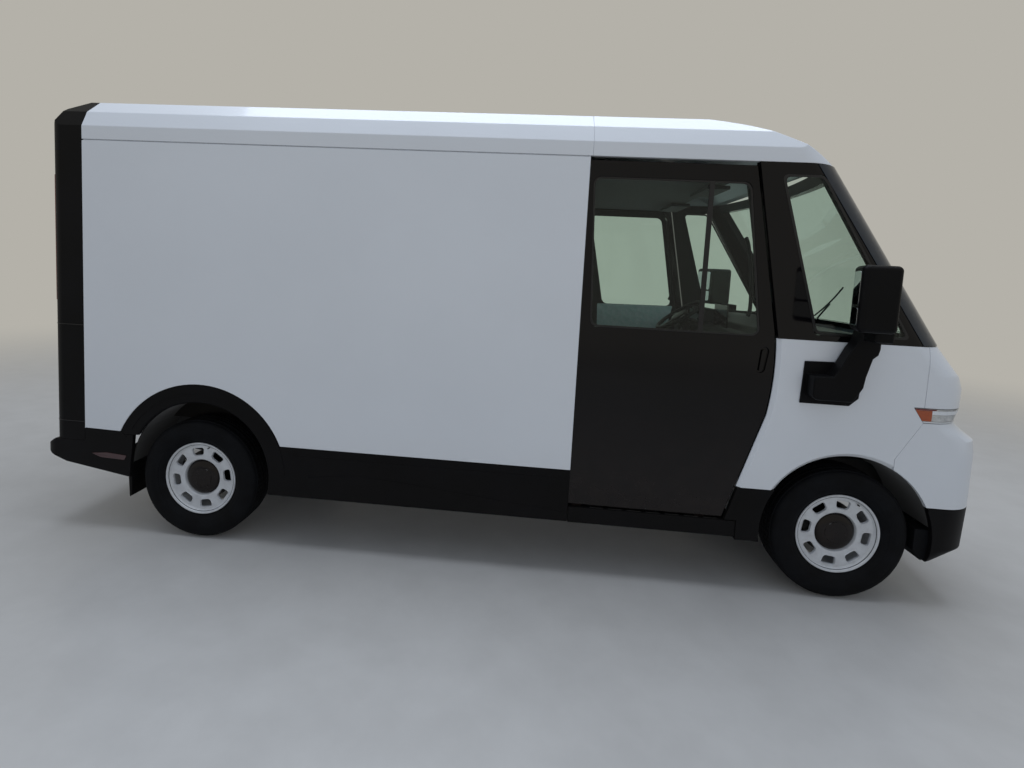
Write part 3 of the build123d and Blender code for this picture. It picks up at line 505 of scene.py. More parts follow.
def rounded_copy(node, look, width, sharp=25, merge=0.02 * MM, first=None, whole_faces=True, name=None):
    """The CAD node with its edges rounded; first may shape the copy before that."""
    bm = copy_of(node, merge=merge, whole_faces=whole_faces)
    if first:
        first(bm)
    round_edges(bm, width, sharp=sharp)
    return make_piece(bm, name or node + "_finished", look, body_of(node), [node])


def joined(*parts):
    """One bmesh from several."""
    whole = bmesh.new()
    for part in parts:
        mesh = bpy.data.meshes.new("part")
        part.to_mesh(mesh)
        whole.from_mesh(mesh)
        bpy.data.meshes.remove(mesh)
        part.free()
    return whole


def flipped(bm, verts, faces):
    bmesh.ops.scale(bm, vec=(1, -1, 1), verts=verts)
    bmesh.ops.reverse_faces(bm, faces=faces)
    return bm


def on_side(bm, side):
    """A shape drawn on the right, moved to the left where side is 1."""
    return flipped(bm, bm.verts[:], bm.faces[:]) if side > 0 else bm


def both_sides(*parts):
    """Shapes drawn on the right, with their left-hand twins."""
    bm = joined(*parts) if len(parts) > 1 else parts[0]
    twin = bmesh.ops.duplicate(bm, geom=everything(bm))["geom"]
    return flipped(bm, only(twin, bmesh.types.BMVert), only(twin, bmesh.types.BMFace))


# the axes of a drawing across an axis, and that axis
ACROSS = {"x": (1, 2, 0), "y": (0, 2, 1), "z": (0, 1, 2)}


def outline(bm, points, across, level, corner=0.0):
    """A face drawn in the plane across one axis, its corners rounded."""
    first, second, _ = ACROSS[across]
    ring = []
    for point in points:
        place = [level] * 3
        place[first], place[second] = point
        ring.append(bm.verts.new(place))
    bm.faces.new(ring)
    if corner:
        round_corners(bm, ring, corner)


def pushed(bm, across, depth, edge, segments, sharp):
    """Pushes a flat drawing out along one axis and rounds its edges."""
    push = Vector((0, 0, 0))
    push[ACROSS[across][2]] = depth
    grown = bmesh.ops.extrude_face_region(bm, geom=bm.faces[:])["geom"]
    bmesh.ops.translate(bm, verts=only(grown, bmesh.types.BMVert), vec=push)
    bmesh.ops.recalc_face_normals(bm, faces=bm.faces)
    if edge:
        round_edges(bm, edge, segments, sharp)
    return bm


def slab(points, across, low, high, corner=0.0, edge=0.0, segments=2):
    """An outline with rounded corners, pushed out along one axis, its edges rounded."""
    bm = bmesh.new()
    outline(bm, points, across, low, corner)
    return pushed(bm, across, high - low, edge, segments, 40)


def side_slab(points, low, high, corner=0.0, edge=0.0):
    """A slab on the right side, from low to high inwards of the outer face."""
    return slab(points, "y", OUTER_Y + low, OUTER_Y + high, corner, edge)


def ring_slab(outer, inner, across, low, high, edge=0.0):
    """A flat ring between two rounded outlines, given as (points, corner)."""
    bm = bmesh.new()
    for points, corner in (outer, inner):
        outline(bm, points, across, low, corner)
    edges = bm.edges[:]
    bmesh.ops.delete(bm, geom=bm.faces[:], context="FACES_ONLY")
    bmesh.ops.bridge_loops(bm, edges=edges)
    return pushed(bm, across, high - low, edge, 2, 60)


def shifted(x, z, *points):
    """Points given from a corner at x, z."""
    return [(x + along, z + up) for along, up in points]


def rectangle(a, b):
    return [(a[0], b[0]), (a[1], b[0]), (a[1], b[1]), (a[0], b[1])]


def about(centre, half):
    return centre - half, centre + half


def bar(x, y, z, edge=2 * MM, segments=2, at=(0, 0, 0)):
    """A rounded bar between three (low, high) ranges, given from the place at."""
    x, y, z = ([origin + limit for limit in limits] for origin, limits in zip(at, (x, y, z)))
    return slab(rectangle(x, z), "y", *y, edge=edge, segments=segments)


def arc_band(centre, outer, inner, angles, lean=0):
    """The outline between two arcs in the XZ plane, at angles in degrees from ahead."""
    turns = [(outer, angle) for angle in angles] + [(inner, angle + lean) for angle in reversed(angles)]
    return [(centre.x + radius * math.cos(math.radians(angle)), centre.z + radius * math.sin(math.radians(angle)))
            for radius, angle in turns]


def turned(profile, centre, axis=(0, 1, 0), outward=1, steps=96, closed=False):
    """A profile of (distance along the axis, radius) spun round it."""
    bm = bmesh.new()
    along = Vector(axis).normalized()
    across = along.orthogonal().normalized()
    ring = [bm.verts.new(centre + along * outward * reach + across * radius) for reach, radius in profile]
    pairs = list(zip(ring, ring[1:])) + ([(ring[-1], ring[0])] if closed else [])
    edges = [bm.edges.new(pair) for pair in pairs]
    bmesh.ops.spin(bm, geom=ring + edges, cent=centre, axis=along, angle=math.tau, steps=steps,
                   use_merge=True)
    bmesh.ops.remove_doubles(bm, verts=bm.verts, dist=1e-5)
    bmesh.ops.recalc_face_normals(bm, faces=bm.faces)
    return bm


def rod(points, radius, flowing=False):
    """A round rod or hose along points."""
    curve = bpy.data.curves.new("rod", "CURVE")
    curve.dimensions = "3D"
    curve.bevel_depth, curve.bevel_resolution, curve.use_fill_caps = radius, 3, True
    line = curve.splines.new("NURBS" if flowing else "POLY")
    line.points.add(len(points) - 1)
    for point, place in zip(line.points, points):
        point.co = (*place, 1)
    line.order_u, line.use_endpoint_u = 3, True
    holder = bpy.data.objects.new("rod", curve)
    mesh = bpy.data.meshes.new_from_object(holder)
    bm = bmesh.new()
    bm.from_mesh(mesh)
    bmesh.ops.remove_doubles(bm, verts=bm.verts, dist=1e-5)
    bmesh.ops.recalc_face_normals(bm, faces=bm.faces)
    bpy.data.objects.remove(holder)
    bpy.data.meshes.remove(mesh)
    return bm


def skin_strip(node, cuts, lift, thickness, centre, facing=0.35):
    """A strip of a CAD node's outer skin: trimmed by planes, lifted off it and made solid."""
    bm = copy_of(node, merge=0.3 * MM, whole_faces=False)
    inner = [face for face in bm.faces
             if face.normal.dot((face.calc_center_median() - centre).normalized()) < facing]
    bmesh.ops.delete(bm, geom=inner, context="FACES")
    for place, normal in cuts:
        bmesh.ops.bisect_plane(bm, geom=everything(bm), plane_co=place, plane_no=normal, clear_outer=True)
    bm.normal_update()
    moves = [(vert, vert.normal * lift) for vert in bm.verts]
    for vert, move in moves:
        vert.co += move
    bmesh.ops.solidify(bm, geom=bm.faces[:], thickness=thickness)
    bmesh.ops.recalc_face_normals(bm, faces=bm.faces)
    return bm


def between(x=None, y=None, z=None):
    """Cutting planes that keep what lies between (low, high) on each axis given."""
    cuts = []
    for axis, limits in enumerate((x, y, z)):
        for limit, sign in zip(limits or (), (-1, 1)):
            normal = Vector((0, 0, 0))
            normal[axis] = sign
            cuts.append((normal * sign * limit, normal))
    return cuts


class VanBody(bpy.types.Operator):
    """White side panels, roof, fenders, nose and front bumper"""
    bl_idname = "van.body"
    bl_label = "White body"

    def execute(self, context):
        sizes = context.scene.van_sizes
        for name, side in SIDES:
            node = "body_side_" + name
            shell = copy_of("body_side_right")
            round_edges(shell, sizes.panel_edge)
            rings = [face for face in shell.faces if len(face.verts) > 4]
            bmesh.ops.triangulate(shell, faces=rings)       # before the flip: the pocket's mouth stays open
            make_piece(on_side(shell, side), node + "_finished", WHITE, body_of(node), [node])
        for node in ("cargo_roof", "cab_roof"):
            rounded_copy(node, WHITE, sizes.panel_edge, sharp=15)

        def arch_lip(bm):
            round_edges(bm, sizes.arch_lip, 1, 40, lambda p: on_outside(p) and 0.64 < p.z < BELT_Z - 0.01
                        and p.x < FRONT_AXLE_X + 0.232)

        rounded_copy("fenders", WHITE, sizes.panel_edge, first=arch_lip)
        rounded_copy("nose_panel", WHITE, sizes.panel_edge)
        bumper = copy_of("front_bumper", merge=1.5 * MM)
        intake_y, intake_z = 0.66, 0.86
        for place, normal in between(y=(-intake_y, intake_y), z=(0, intake_z)):
            bmesh.ops.bisect_plane(bumper, geom=everything(bumper), plane_co=place, plane_no=normal)
        round_edges(bumper, sizes.panel_edge)
        piece = make_piece(bumper, "front_bumper_finished", WHITE, stands_for=["front_bumper"])
        second_finish(piece, "grained_abs", lambda at, normal: abs(at.y) < intake_y and at.z < intake_z
                      and at.x > FRONT_X - 0.20 and normal.x > 0.2)
        beads, camber = [], 0.060          # the roof falls by this much one metre from its middle
        for across in (0.35, 0.55, 0.75):
            top = CROWN_Z - camber * across * across
            bead = bar((REAR_X + 0.42, ROOF_SEAM_X - 0.10), about(-across, 0.03), (top - 0.010, top + 0.004),
                       3.5 * MM)
            slope = Matrix.Rotation(math.atan(2 * camber * across), 3, "X")
            bmesh.ops.rotate(bead, cent=(0, -across, top), matrix=slope, verts=bead.verts)
            beads.append(bead)
        make_piece(both_sides(*beads), "roof_beads", WHITE)
        return {"FINISHED"}


class VanMouldings(bpy.types.Operator):
    """Black cladding, flares, steps, skirt and mudflaps"""
    bl_idname = "van.mouldings"
    bl_label = "Black mouldings"

    def execute(self, context):
        edge = context.scene.van_sizes.moulded_edge

        def arch_bevel(bm):
            round_edges(bm, 13 * MM, 3, 40, lambda p: on_outside(p) and abs(
                math.hypot(p.x - REAR_ARCH.x, p.z - REAR_ARCH.z) - REAR_ARCH_RADIUS) < 0.01)

        rounded_copy("sill_cladding", MOULDED, edge, first=arch_bevel)
        for node in ("side_steps", "front_skirt", "mudflaps"):
            rounded_copy(node, MOULDED, edge)
        rear, low, step_x = REAR_AXLE_X, DOOR_LOW.z - 0.078, 0.484
        flare = arc_band(REAR_ARCH, 0.566, 0.512, [4 + 2.4 * i for i in range(61)], lean=2)
        rocker = [(rear + 0.62, 0.600), (rear + 0.62, 0.54), (rear + 0.74, low), (step_x, low), (step_x, 0.600)]
        wedge = [(rear + 0.76, low + 0.004), (rear + 0.72, 0.470), (rear + 1.00, 0.505), (rear + 1.30, 0.490),
                 (step_x - 0.004, 0.392), (step_x - 0.004, low + 0.004)]
        heel = [(PANEL_LOW.x + 0.002, 0.630), (PANEL_LOW.x + 0.002, 0.674), (rear - 0.500, 0.668),
                (rear - 0.462, 0.630)]
        make_piece(both_sides(side_slab(flare, -2.5 * MM, 4 * MM, 0, 2 * MM),
                              side_slab(rocker, -2 * MM, 4 * MM, 8 * MM, 1.5 * MM),
                              side_slab(wedge, -4.5 * MM, 4 * MM, 10 * MM, 2 * MM),
                              side_slab(heel, -1.5 * MM, 4 * MM, 6 * MM, 1 * MM)), "cladding_relief", MOULDED)
        treads = [bar((0, 0.08), (0.020, 0.036), (0.423, 0.4275), 1.5 * MM,
                      at=(0.62 + 0.11 * i, OUTER_Y + 0.035 * j, 0)) for i in range(7) for j in range(7)]
        make_piece(both_sides(*treads), "step_treads", SEAL)
        marker = shifted(rear, 0, (-0.705, 0.512), (-0.640, 0.488), (-0.480, 0.482), (-0.466, 0.512),
                         (-0.600, 0.522))
        make_piece(both_sides(side_slab(marker, -2.5 * MM, 3 * MM, 6 * MM, 1.5 * MM)), "rear_side_markers",
                   ("smoked_red_acrylic", "lamp_red"))
        flap = shifted(FRONT_AXLE_X, 0, (0.405, 0.460), (0.405, 0.335), (0.452, 0.276), (0.478, 0.290),
                       (0.492, 0.360), (0.492, 0.460))
        make_piece(both_sides(side_slab(flap, 0.030, 0.220, 8 * MM, 3 * MM)), "front_tyre_deflectors",
                   ("vulcanised_rubber", "black_moulded"))
        rounded_copy("wheel_liners", LINER, 2 * MM)
        skirts = []
        for arch, radius, turns in ((FRONT_ARCH, FRONT_ARCH_RADIUS, ((11, 42), (138, 176))),
                                    (REAR_ARCH, REAR_ARCH_RADIUS, ((4, 36.5), (143.5, 176)))):
            for first, last in turns:
                arc = arc_band(arch, radius + 6.5 * MM, radius + 0.5 * MM,
                               [first + (last - first) * i / 12 for i in range(13)])
                skirts.append(side_slab(arc, 0.031, 0.405, edge=1 * MM))
        make_piece(both_sides(*skirts), "wheel_liner_skirts", LINER)
        return {"FINISHED"}


class VanWheels(bpy.types.Operator):
    """Tyres, pressed steel wheels, hub covers and brakes"""
    bl_idname = "van.wheels"
    bl_label = "Wheels"

    def execute(self, context):
        sizes = context.scene.van_sizes
        for axle, x, turn in (("front", FRONT_AXLE_X, 8), ("rear", REAR_AXLE_X, -9)):
            for name, side in SIDES:
                hub = Vector((x, side * WHEEL_Y, TYRE_RADIUS))
                wheel = f"{axle}_{name}"
                body = "wheel_" + wheel
                make_piece(tyre(hub, sizes.tread_pitches), f"tyre_{wheel}_finished",
                           ("vulcanised_rubber", "tyre_rubber"), body, ["tyre_" + wheel])
                disc = wheel_disc(hub, side, sizes.hand_holes, math.radians(turn))
                make_piece([turned(BARREL, hub, outward=side, closed=True), disc], f"rim_{wheel}_finished",
                           ("stove_enamel", "wheel_paint"), body, ["rim_" + wheel], smooth=50)
                make_piece(turned(HUB_COVER, hub, outward=side), f"hub_cover_{wheel}",
                           ("piano_black_enamel", "black_moulded"), body, smooth=50)
                lean = math.radians(turn + 22.5)
                spot = hub + Vector((0.204 * math.sin(lean), 0, 0.204 * math.cos(lean)))
                valve = rod([spot + Vector((0, side * reach, 0)) for reach in (0.066, 0.090)], 4 * MM)
                make_piece(valve, f"valve_{wheel}", ("seal_rubber", "tyre_rubber"), body)
                # the brake disc's dark iron is painted shade behind the hand holes
                make_piece(turned(BRAKE_DISC, hub, outward=side, closed=True), f"brake_disc_{wheel}", IRON, body)
                # the caliper straddles the brake disc on its rear edge
                caliper = slab(arc_band(hub, 0.182, 0.112, [150 + 5 * i for i in range(13)]), "y",
                               *sorted((hub.y - side * 0.052, hub.y + side * 0.016)), edge=6 * MM, segments=3)
                make_piece(caliper, f"brake_caliper_{wheel}", ZINC,
                           "knuckle_" + name if axle == "front" else "van_body")
        return {"FINISHED"}


TREAD_FLOOR = 0.3745                    # faces further out than this radius are tread blocks
DISC_FACE = 0.073                       # the wheel disc's face, outward from the wheel's middle
DISC_BORE, DISC_EDGE = 0.122, 0.2085
HAND_HOLE = ((0.1465, -0.262), (0.1465, 0.262), (0.2025, 0.238), (0.2025, -0.238))    # radius and angle
# profiles of the wheel's turned parts: (distance outward from its middle, radius)
HUB_COVER = [(0.046, 0.0), (0.046, 0.112), (0.052, 0.1135), (0.057, 0.110), (0.060, 0.104), (0.066, 0.101),
             (0.072, 0.090), (0.0755, 0.070), (0.0755, 0.064), (0.0785, 0.062), (0.0795, 0.050), (0.0800, 0.025),
             (0.0802, 0.0)]
BRAKE_DISC = [(-0.028, 0.078), (-0.028, 0.158), (-0.006, 0.158), (-0.006, 0.084), (0.030, 0.080),
              (0.036, 0.070), (0.036, 0.040), (-0.012, 0.040), (-0.012, 0.078)]
BARREL = [(-0.0945, 0.210), (-0.0945, 0.231), (-0.088, 0.2335), (-0.085, 0.217), (0.083, 0.217),
          (0.086, 0.2325), (0.0895, 0.2340), (0.0935, 0.2325), (0.0950, 0.2290), (0.0935, 0.2240),
          (0.0885, 0.2205), (0.0800, 0.2160), (0.0750, 0.2110), (0.0720, 0.2070), (0.0600, 0.2060),
          (-0.088, 0.2060)]
SIDE_WALL = [(0.086, 0.2175), (0.0865, 0.235), (0.092, 0.243), (0.100, 0.250), (0.108, 0.262), (0.1125, 0.273),
             (0.1145, 0.274), (0.1155, 0.281), (0.1185, 0.296), (0.1200, 0.306), (0.1200, 0.318),
             (0.1185, 0.330), (0.1165, 0.338), (0.1170, 0.341), (0.1160, 0.347), (0.1120, 0.357),
             (0.1060, 0.366), (0.0980, 0.372), (0.0880, 0.3755)]
RIBS = [(0.085, 0.3762), (0.052, 0.3775), (0.051, 0.370), (0.045, 0.370), (0.044, 0.3780), (0.017, 0.3785),
        (0.016, 0.371), (0.010, 0.371), (0.009, 0.3787)]


def tyre(hub, pitches):
    """A carcass with sidewall rings and a blocky tread."""
    half = SIDE_WALL + RIBS
    bm = turned(half + [(-along, radius) for along, radius in reversed(half)], hub, closed=True, steps=pitches)
    blocks = [face for face in bm.faces if len(face.verts) == 4
              and from_hub(face.calc_center_median(), hub) > TREAD_FLOOR]
    bmesh.ops.inset_individual(bm, faces=blocks, thickness=2.5 * MM, depth=4.6 * MM)
    return bm


def from_hub(point, hub):
    return math.hypot(point.x - hub.x, point.z - hub.z)


def wheel_disc(hub, side, holes, turn):
    """The pressed disc, with a soft raised edge round each hand hole."""
    bm = bmesh.new()
    half = math.pi / holes
    face_y = hub.y + side * DISC_FACE

    def place(radius, angle):
        return bm.verts.new((hub.x + radius * math.sin(angle + turn), face_y,
                             hub.z + radius * math.cos(angle + turn)))

    def drawn_in(rim, centre, *steps):
        """Carries an open edge inwards in steps of (scale, rise)."""
        for grow, rise in steps:
            grown = bmesh.ops.extrude_edge_only(bm, edges=rim)["geom"]
            verts, rim = only(grown, bmesh.types.BMVert), only(grown, bmesh.types.BMEdge)
            bmesh.ops.scale(bm, vec=(grow, 1, grow), space=Matrix.Translation(-centre), verts=verts)
            bmesh.ops.translate(bm, vec=(0, side * rise, 0), verts=verts)

    # one sector of the disc, with its hole, is spun round the hub
    border = [place(DISC_BORE, -half + half * i / 3) for i in range(7)]
    border += [place(DISC_EDGE, half - half * i / 6) for i in range(13)]
    bmesh.ops.delete(bm, geom=[bm.faces.new(border)], context="FACES_ONLY")
    corners = [place(*corner) for corner in HAND_HOLE]
    bm.faces.new(corners)
    round_corners(bm, corners, 17 * MM)
    window = next(iter(bm.faces))
    centre, rim = window.calc_center_median(), window.edges[:]
    bmesh.ops.delete(bm, geom=[window], context="FACES_ONLY")
    bmesh.ops.bridge_loops(bm, edges=bm.edges[:])
    drawn_in(rim, centre, (0.93, 0.0030), (0.955, -0.0005), (0.94, -0.0060), (0.985, -0.0085))
    bore = [edge for edge in bm.edges if edge.is_boundary and from_hub(middle(edge), hub) < DISC_BORE + 3 * MM]
    drawn_in(bore, hub, (0.955, -0.0040), (0.960, -0.0180), (0.970, -0.0030))
    bmesh.ops.spin(bm, geom=everything(bm), cent=hub, axis=(0, 1, 0), angle=math.tau * (holes - 1) / holes,
                   steps=holes - 1, use_duplicate=True)
    bmesh.ops.remove_doubles(bm, verts=bm.verts, dist=1e-4)
    bmesh.ops.recalc_face_normals(bm, faces=bm.faces)
    bmesh.ops.solidify(bm, geom=bm.faces[:], thickness=3 * MM)
    return bm


class VanDoors(bpy.types.Operator):
    """Sliding cab doors with their window, seals, handle and inner trim"""
    bl_idname = "van.doors"
    bl_label = "Side doors"

    def execute(self, context):
        outer, inner = DOOR_LOW.y, DOOR_HIGH.y
        front, edge_x = FRONT_AXLE_X, PANEL_HIGH.x
        glass_low, glass_high = GLASS_LOW.z, GLASS_HIGH.z
        low, high = DOOR_LOW.z, DOOR_HIGH.z

        def window(inset, rear_top, front_top, front_low, rear_low):
            top, foot = glass_high - inset, glass_low + inset
            return [(edge_x + rear_top, top), (front - front_top, top), (front - front_low, foot),
                    (edge_x + rear_low, foot)]

        opening = window(0, 0.025, 0.663, 0.544, 0.060)
        smaller = window(0.011, 0.036, 0.673, 0.558, 0.070)
        # the lining of the driver's door stands in past the edge of its window
        padded_opening = [(front - 1.348, high - 0.105), (front - 0.716, high - 0.105),
                          (front - 0.576, BELT_Z + 0.055), (front - 1.193, BELT_Z + 0.045)]
        lining = [(edge_x - 0.02, high - 0.05), (front - 0.69, high - 0.05), (front - 0.50, BELT_Z - 0.10),
                  (front - 0.53, BELT_Z - 0.42), (front - 0.70, low + 0.05), (edge_x - 0.02, low + 0.05)]
        leading_edge = [(front - 0.6505, high - 0.004), (front - 0.470, BELT_Z + 0.010),
                        (front - 0.4595, BELT_Z - 0.205), (front - 0.482, BELT_Z - 0.446),
                        (front - 0.667, low + 0.022)]
        for name, side in SIDES:
            body = "side_door_" + name
            rounded_copy(body, GLOSS, 3 * MM)
            rounded_copy("side_glass_" + name, GLASS, 0.5 * MM)
            seal = ring_slab((opening, 0.045), (smaller, 0.036), "y", outer + 2.2 * MM, outer + 9.5 * MM, 0.8 * MM)
            if side < 0:
                seal = joined(seal, bar((front - 0.890, front - 0.862), (outer + 2.5 * MM, outer + 9.5 * MM),
                                        (glass_low + 0.004, glass_high - 0.004), 1 * MM))
            grip = slab(shifted(front, BELT_Z, (-0.534, -0.195), (-0.514, -0.195), (-0.504, -0.072),
                                (-0.524, -0.072)), "y", outer + 1.5 * MM, outer + 8 * MM, 8 * MM, 2 * MM)
            # the seal is drawn in a lighter grey than rubber: a painted highlight along the door's edge
            line = rod([(x, outer + 3.2 * MM, z) for x, z in leading_edge], 3 * MM, flowing=True)
            trim = ring_slab((lining, 0.03), (opening if side < 0 else padded_opening, 0.045), "y",
                             inner - 1 * MM, inner + 1.6 * MM, 0.6 * MM)
            for bm, part, look in ((seal, "window_seal_", SEAL), (grip, "door_handle_", GLOSS),
                                   (line, "door_edge_seal_", ("seal_with_painted_highlight", "black_moulded")),
                                   (trim, "door_trim_", TRIM)):
                make_piece(on_side(bm, side), part + name, look, body)
        film = slab(shifted(front, BELT_Z, (-1.230, -0.157), (-0.597, -0.157), (-0.556, 0.054), (-1.240, 0.043)),
                    "y", inner + 0.8 * MM, inner + 2.0 * MM, 10 * MM)
        make_piece(on_side(film, 1), "door_film_left", ("protective_film", "dash_plastic"), "side_door_left")
        return {"FINISHED"}


class VanCabShell(bpy.types.Operator):
    """Gloss black pillars, fixed glass, wipers and cowl"""
    bl_idname = "van.cab_shell"
    bl_label = "Cab pillars and glass"

    def execute(self, context):
        front = FRONT_AXLE_X
        pillars = rounded_copy("cab_frame", GLOSS, 2 * MM)
        inside = Vector((front - 0.6, 0, 0))
        second_finish(pillars, "pebbled_polypropylene",
                      lambda at, normal: normal.dot(Vector((at.x, at.y, 0)) - inside) < -0.1)
        band_back = (Vector((SCREEN_FOOT_X + SCREEN_RAKE * BELT_Z - 0.245, 0, 0)), Vector((-1, 0, -SCREEN_RAKE)))
        edge_band = skin_strip("cab_frame", between(z=(BELT_Z + 0.004, RAIL_Z - 0.004)) + [band_back], 1 * MM,
                               -2.5 * MM, Vector((front - 0.6, 0, 2.0)))
        # the band's blue is a painted sky reflection, set in its finish
        make_piece(edge_band, "windscreen_edge_band", ("fritted_glass_painted_sky", "glass_tinted"))
        rounded_copy("fixed_glass", GLASS, 0.5 * MM)
        rounded_copy("nose_band", GLOSS, 2 * MM)
        top, foot = RAIL_Z - 0.065, BELT_Z + 0.032
        outer = [(front - 0.517, top), (front - 0.290, top), (front + 0.245, foot), (front - 0.262, foot)]
        inner = [(front - 0.498, top - 0.013), (front - 0.298, top - 0.013), (front + 0.222, foot + 0.013),
                 (front - 0.249, foot + 0.013)]
        border = ring_slab((outer, 0.035), (inner, 0.030), "y", OUTER_Y - 0.8 * MM, OUTER_Y + 3 * MM, 0.6 * MM)
        make_piece(both_sides(border), "quarter_window_seals", SEAL)
        cowl = skin_strip("nose_panel", between(y=(-0.78, 0.78), z=(BELT_Z - 0.055, BELT_Z - 0.010)), 1 * MM,
                          -3 * MM, Vector((front - 0.3, 0, 1.3)))
        make_piece(cowl, "cowl_vent", MOULDED)

        def on_screen(y, z, proud):
            # the screen bows back by 122 mm from its middle to its sides, 910 mm out
            bow = 0.122 * (y / 0.91) ** 2
            return Vector((SCREEN_FOOT_X - bow - (z - BELT_Z) * SCREEN_RAKE + proud, y, z + proud * SCREEN_RAKE))

        arms, blades = [], []
        for pivot_y, tip_y, tip_z in ((0.62, 0.02, 1.80), (-0.10, -0.70, 1.78)):
            pivot = on_screen(pivot_y, BELT_Z - 0.012, 0.010)
            elbow = on_screen(pivot_y - 0.10, BELT_Z + 0.05, 0.030)
            arms.append(rod([pivot, elbow, on_screen((pivot_y + tip_y) / 2 - 0.03, 1.66, 0.022)], 7 * MM))
            arms.append(turned([(-0.012, 0.0), (-0.012, 0.022), (0.014, 0.020), (0.018, 0.0)], pivot,
                               axis=(1, 0, SCREEN_RAKE), steps=24))
            blades.append(rod([on_screen(pivot_y - 0.07 + (tip_y - pivot_y) * t, 1.56 + (tip_z - 1.56) * t, 0.010)
                               for t in (0, 0.25, 0.5, 0.75, 1.0)], 6 * MM, flowing=True))
        make_piece(arms, "wiper_arms", ("electrocoat", "black_moulded"))
        make_piece(blades, "wiper_blades", SEAL)
        return {"FINISHED"}


def plate(x, z):
    """A blank plate that faces along X."""
    return slab(rectangle((-0.155, 0.155), z), "x", x, x + 2 * MM, 12 * MM, 0.8 * MM)


class VanLamps(bpy.types.Operator):
    """Headlamps, light band and plate at the front"""
    bl_idname = "van.front_lamps"
    bl_label = "Front lamps"

    def execute(self, context):
        centre = Vector((FRONT_AXLE_X - 0.3, 0, 1.12))
        low, high = (corner.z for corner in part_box("headlamps"))
        middle_x = FRONT_AXLE_X + 0.400
        rounded_copy("headlamps", LENS, 1.5 * MM, name="headlamp_lenses")
        housing = dict(z=(low + 0.006, high - 0.006))
        brow = dict(x=(0, middle_x + 0.02), z=(high - 0.011, high - 0.005))
        upper_strip = dict(x=(middle_x, FRONT_X), z=(high - 0.032, high - 0.012))
        lower_strip = dict(z=(low + 0.004, low + 0.010))
        reflector = dict(x=(FRONT_AXLE_X + 0.30, middle_x), z=(low + 0.013, high - 0.013))
        for name, look, lift, limits in (("headlamp_housings", REFLECTOR, -16 * MM, [housing]),
                                         ("headlamp_brows", RED, -3 * MM, [brow]),
                                         ("daytime_strips", LIT, -4 * MM, [upper_strip, lower_strip]),
                                         ("side_reflectors", AMBER, -5 * MM, [reflector])):
            make_piece([skin_strip("headlamps", between(**kept), lift, -6 * MM, centre) for kept in limits],
                       name, look)
        bowls = []
        for reach in (0.66, 0.72, 0.78):
            place = Vector((FRONT_X - 0.185 - 0.10 * (reach - 0.66) / 0.12 * 0.35, -reach, 1.116))
            bowls.append(turned([(-0.020, 0.0), (-0.012, 0.018), (0.004, 0.026), (0.006, 0.028), (-0.004, 0.030),
                                 (-0.024, 0.020), (-0.030, 0.0)], place, axis=(1, 0, 0), steps=32))
        make_piece(both_sides(*bowls), "headlamp_projectors", REFLECTOR)
        strip = skin_strip("nose_band", between(y=(-0.58, 0.58), z=(low + 0.036, low + 0.046)), 0.5 * MM,
                           -3 * MM, centre)
        make_piece(strip, "nose_light_strip", LIT)
        make_piece(plate(FRONT_X - 0.012 + 0.5 * MM, (0.645, 0.795)), "front_plate", PLATE)
        slots = [bar((-0.030, -0.008), (-0.045, 0.045), (0.505, 0.520), 3 * MM,
                     at=(FRONT_X - 0.008 * abs(i - 4), -0.48 + 0.12 * i, 0)) for i in range(9)]
        make_piece(slots, "intake_bars", SEAL)
        return {"FINISHED"}


class VanMirrors(bpy.types.Operator):
    """Tall folding mirrors with their glass"""
    bl_idname = "van.mirrors"
    bl_label = "Mirrors"

    def execute(self, context):
        def soft_arm(bm):
            round_edges(bm, 10 * MM, 3, 60, lambda p: abs(p.y) > 1.12 and p.z < 1.61)

        rounded_copy("mirrors", MOULDED, 3 * MM, first=soft_arm)
        near_x, near_y = -0.161, -0.135    # the back of the housing at its inner edge, from the axle and panel
        lean = (0.246 + near_x) / (0.365 + near_y)

        def rear_glass(z, corner):
            glass = slab(rectangle((OUTER_Y - 0.335, OUTER_Y - 0.165), z), "x", -3 * MM, 2 * MM, corner, 1 * MM)
            for vert in glass.verts:
                vert.co.x += FRONT_AXLE_X + near_x + lean * (vert.co.y - OUTER_Y - near_y)
            return glass

        make_piece(both_sides(rear_glass((1.725, 1.895), 0.022), rear_glass((1.620, 1.712), 0.018)),
                   "mirror_glass", ("silvered_glass", "glass_tinted"))
        return {"FINISHED"}


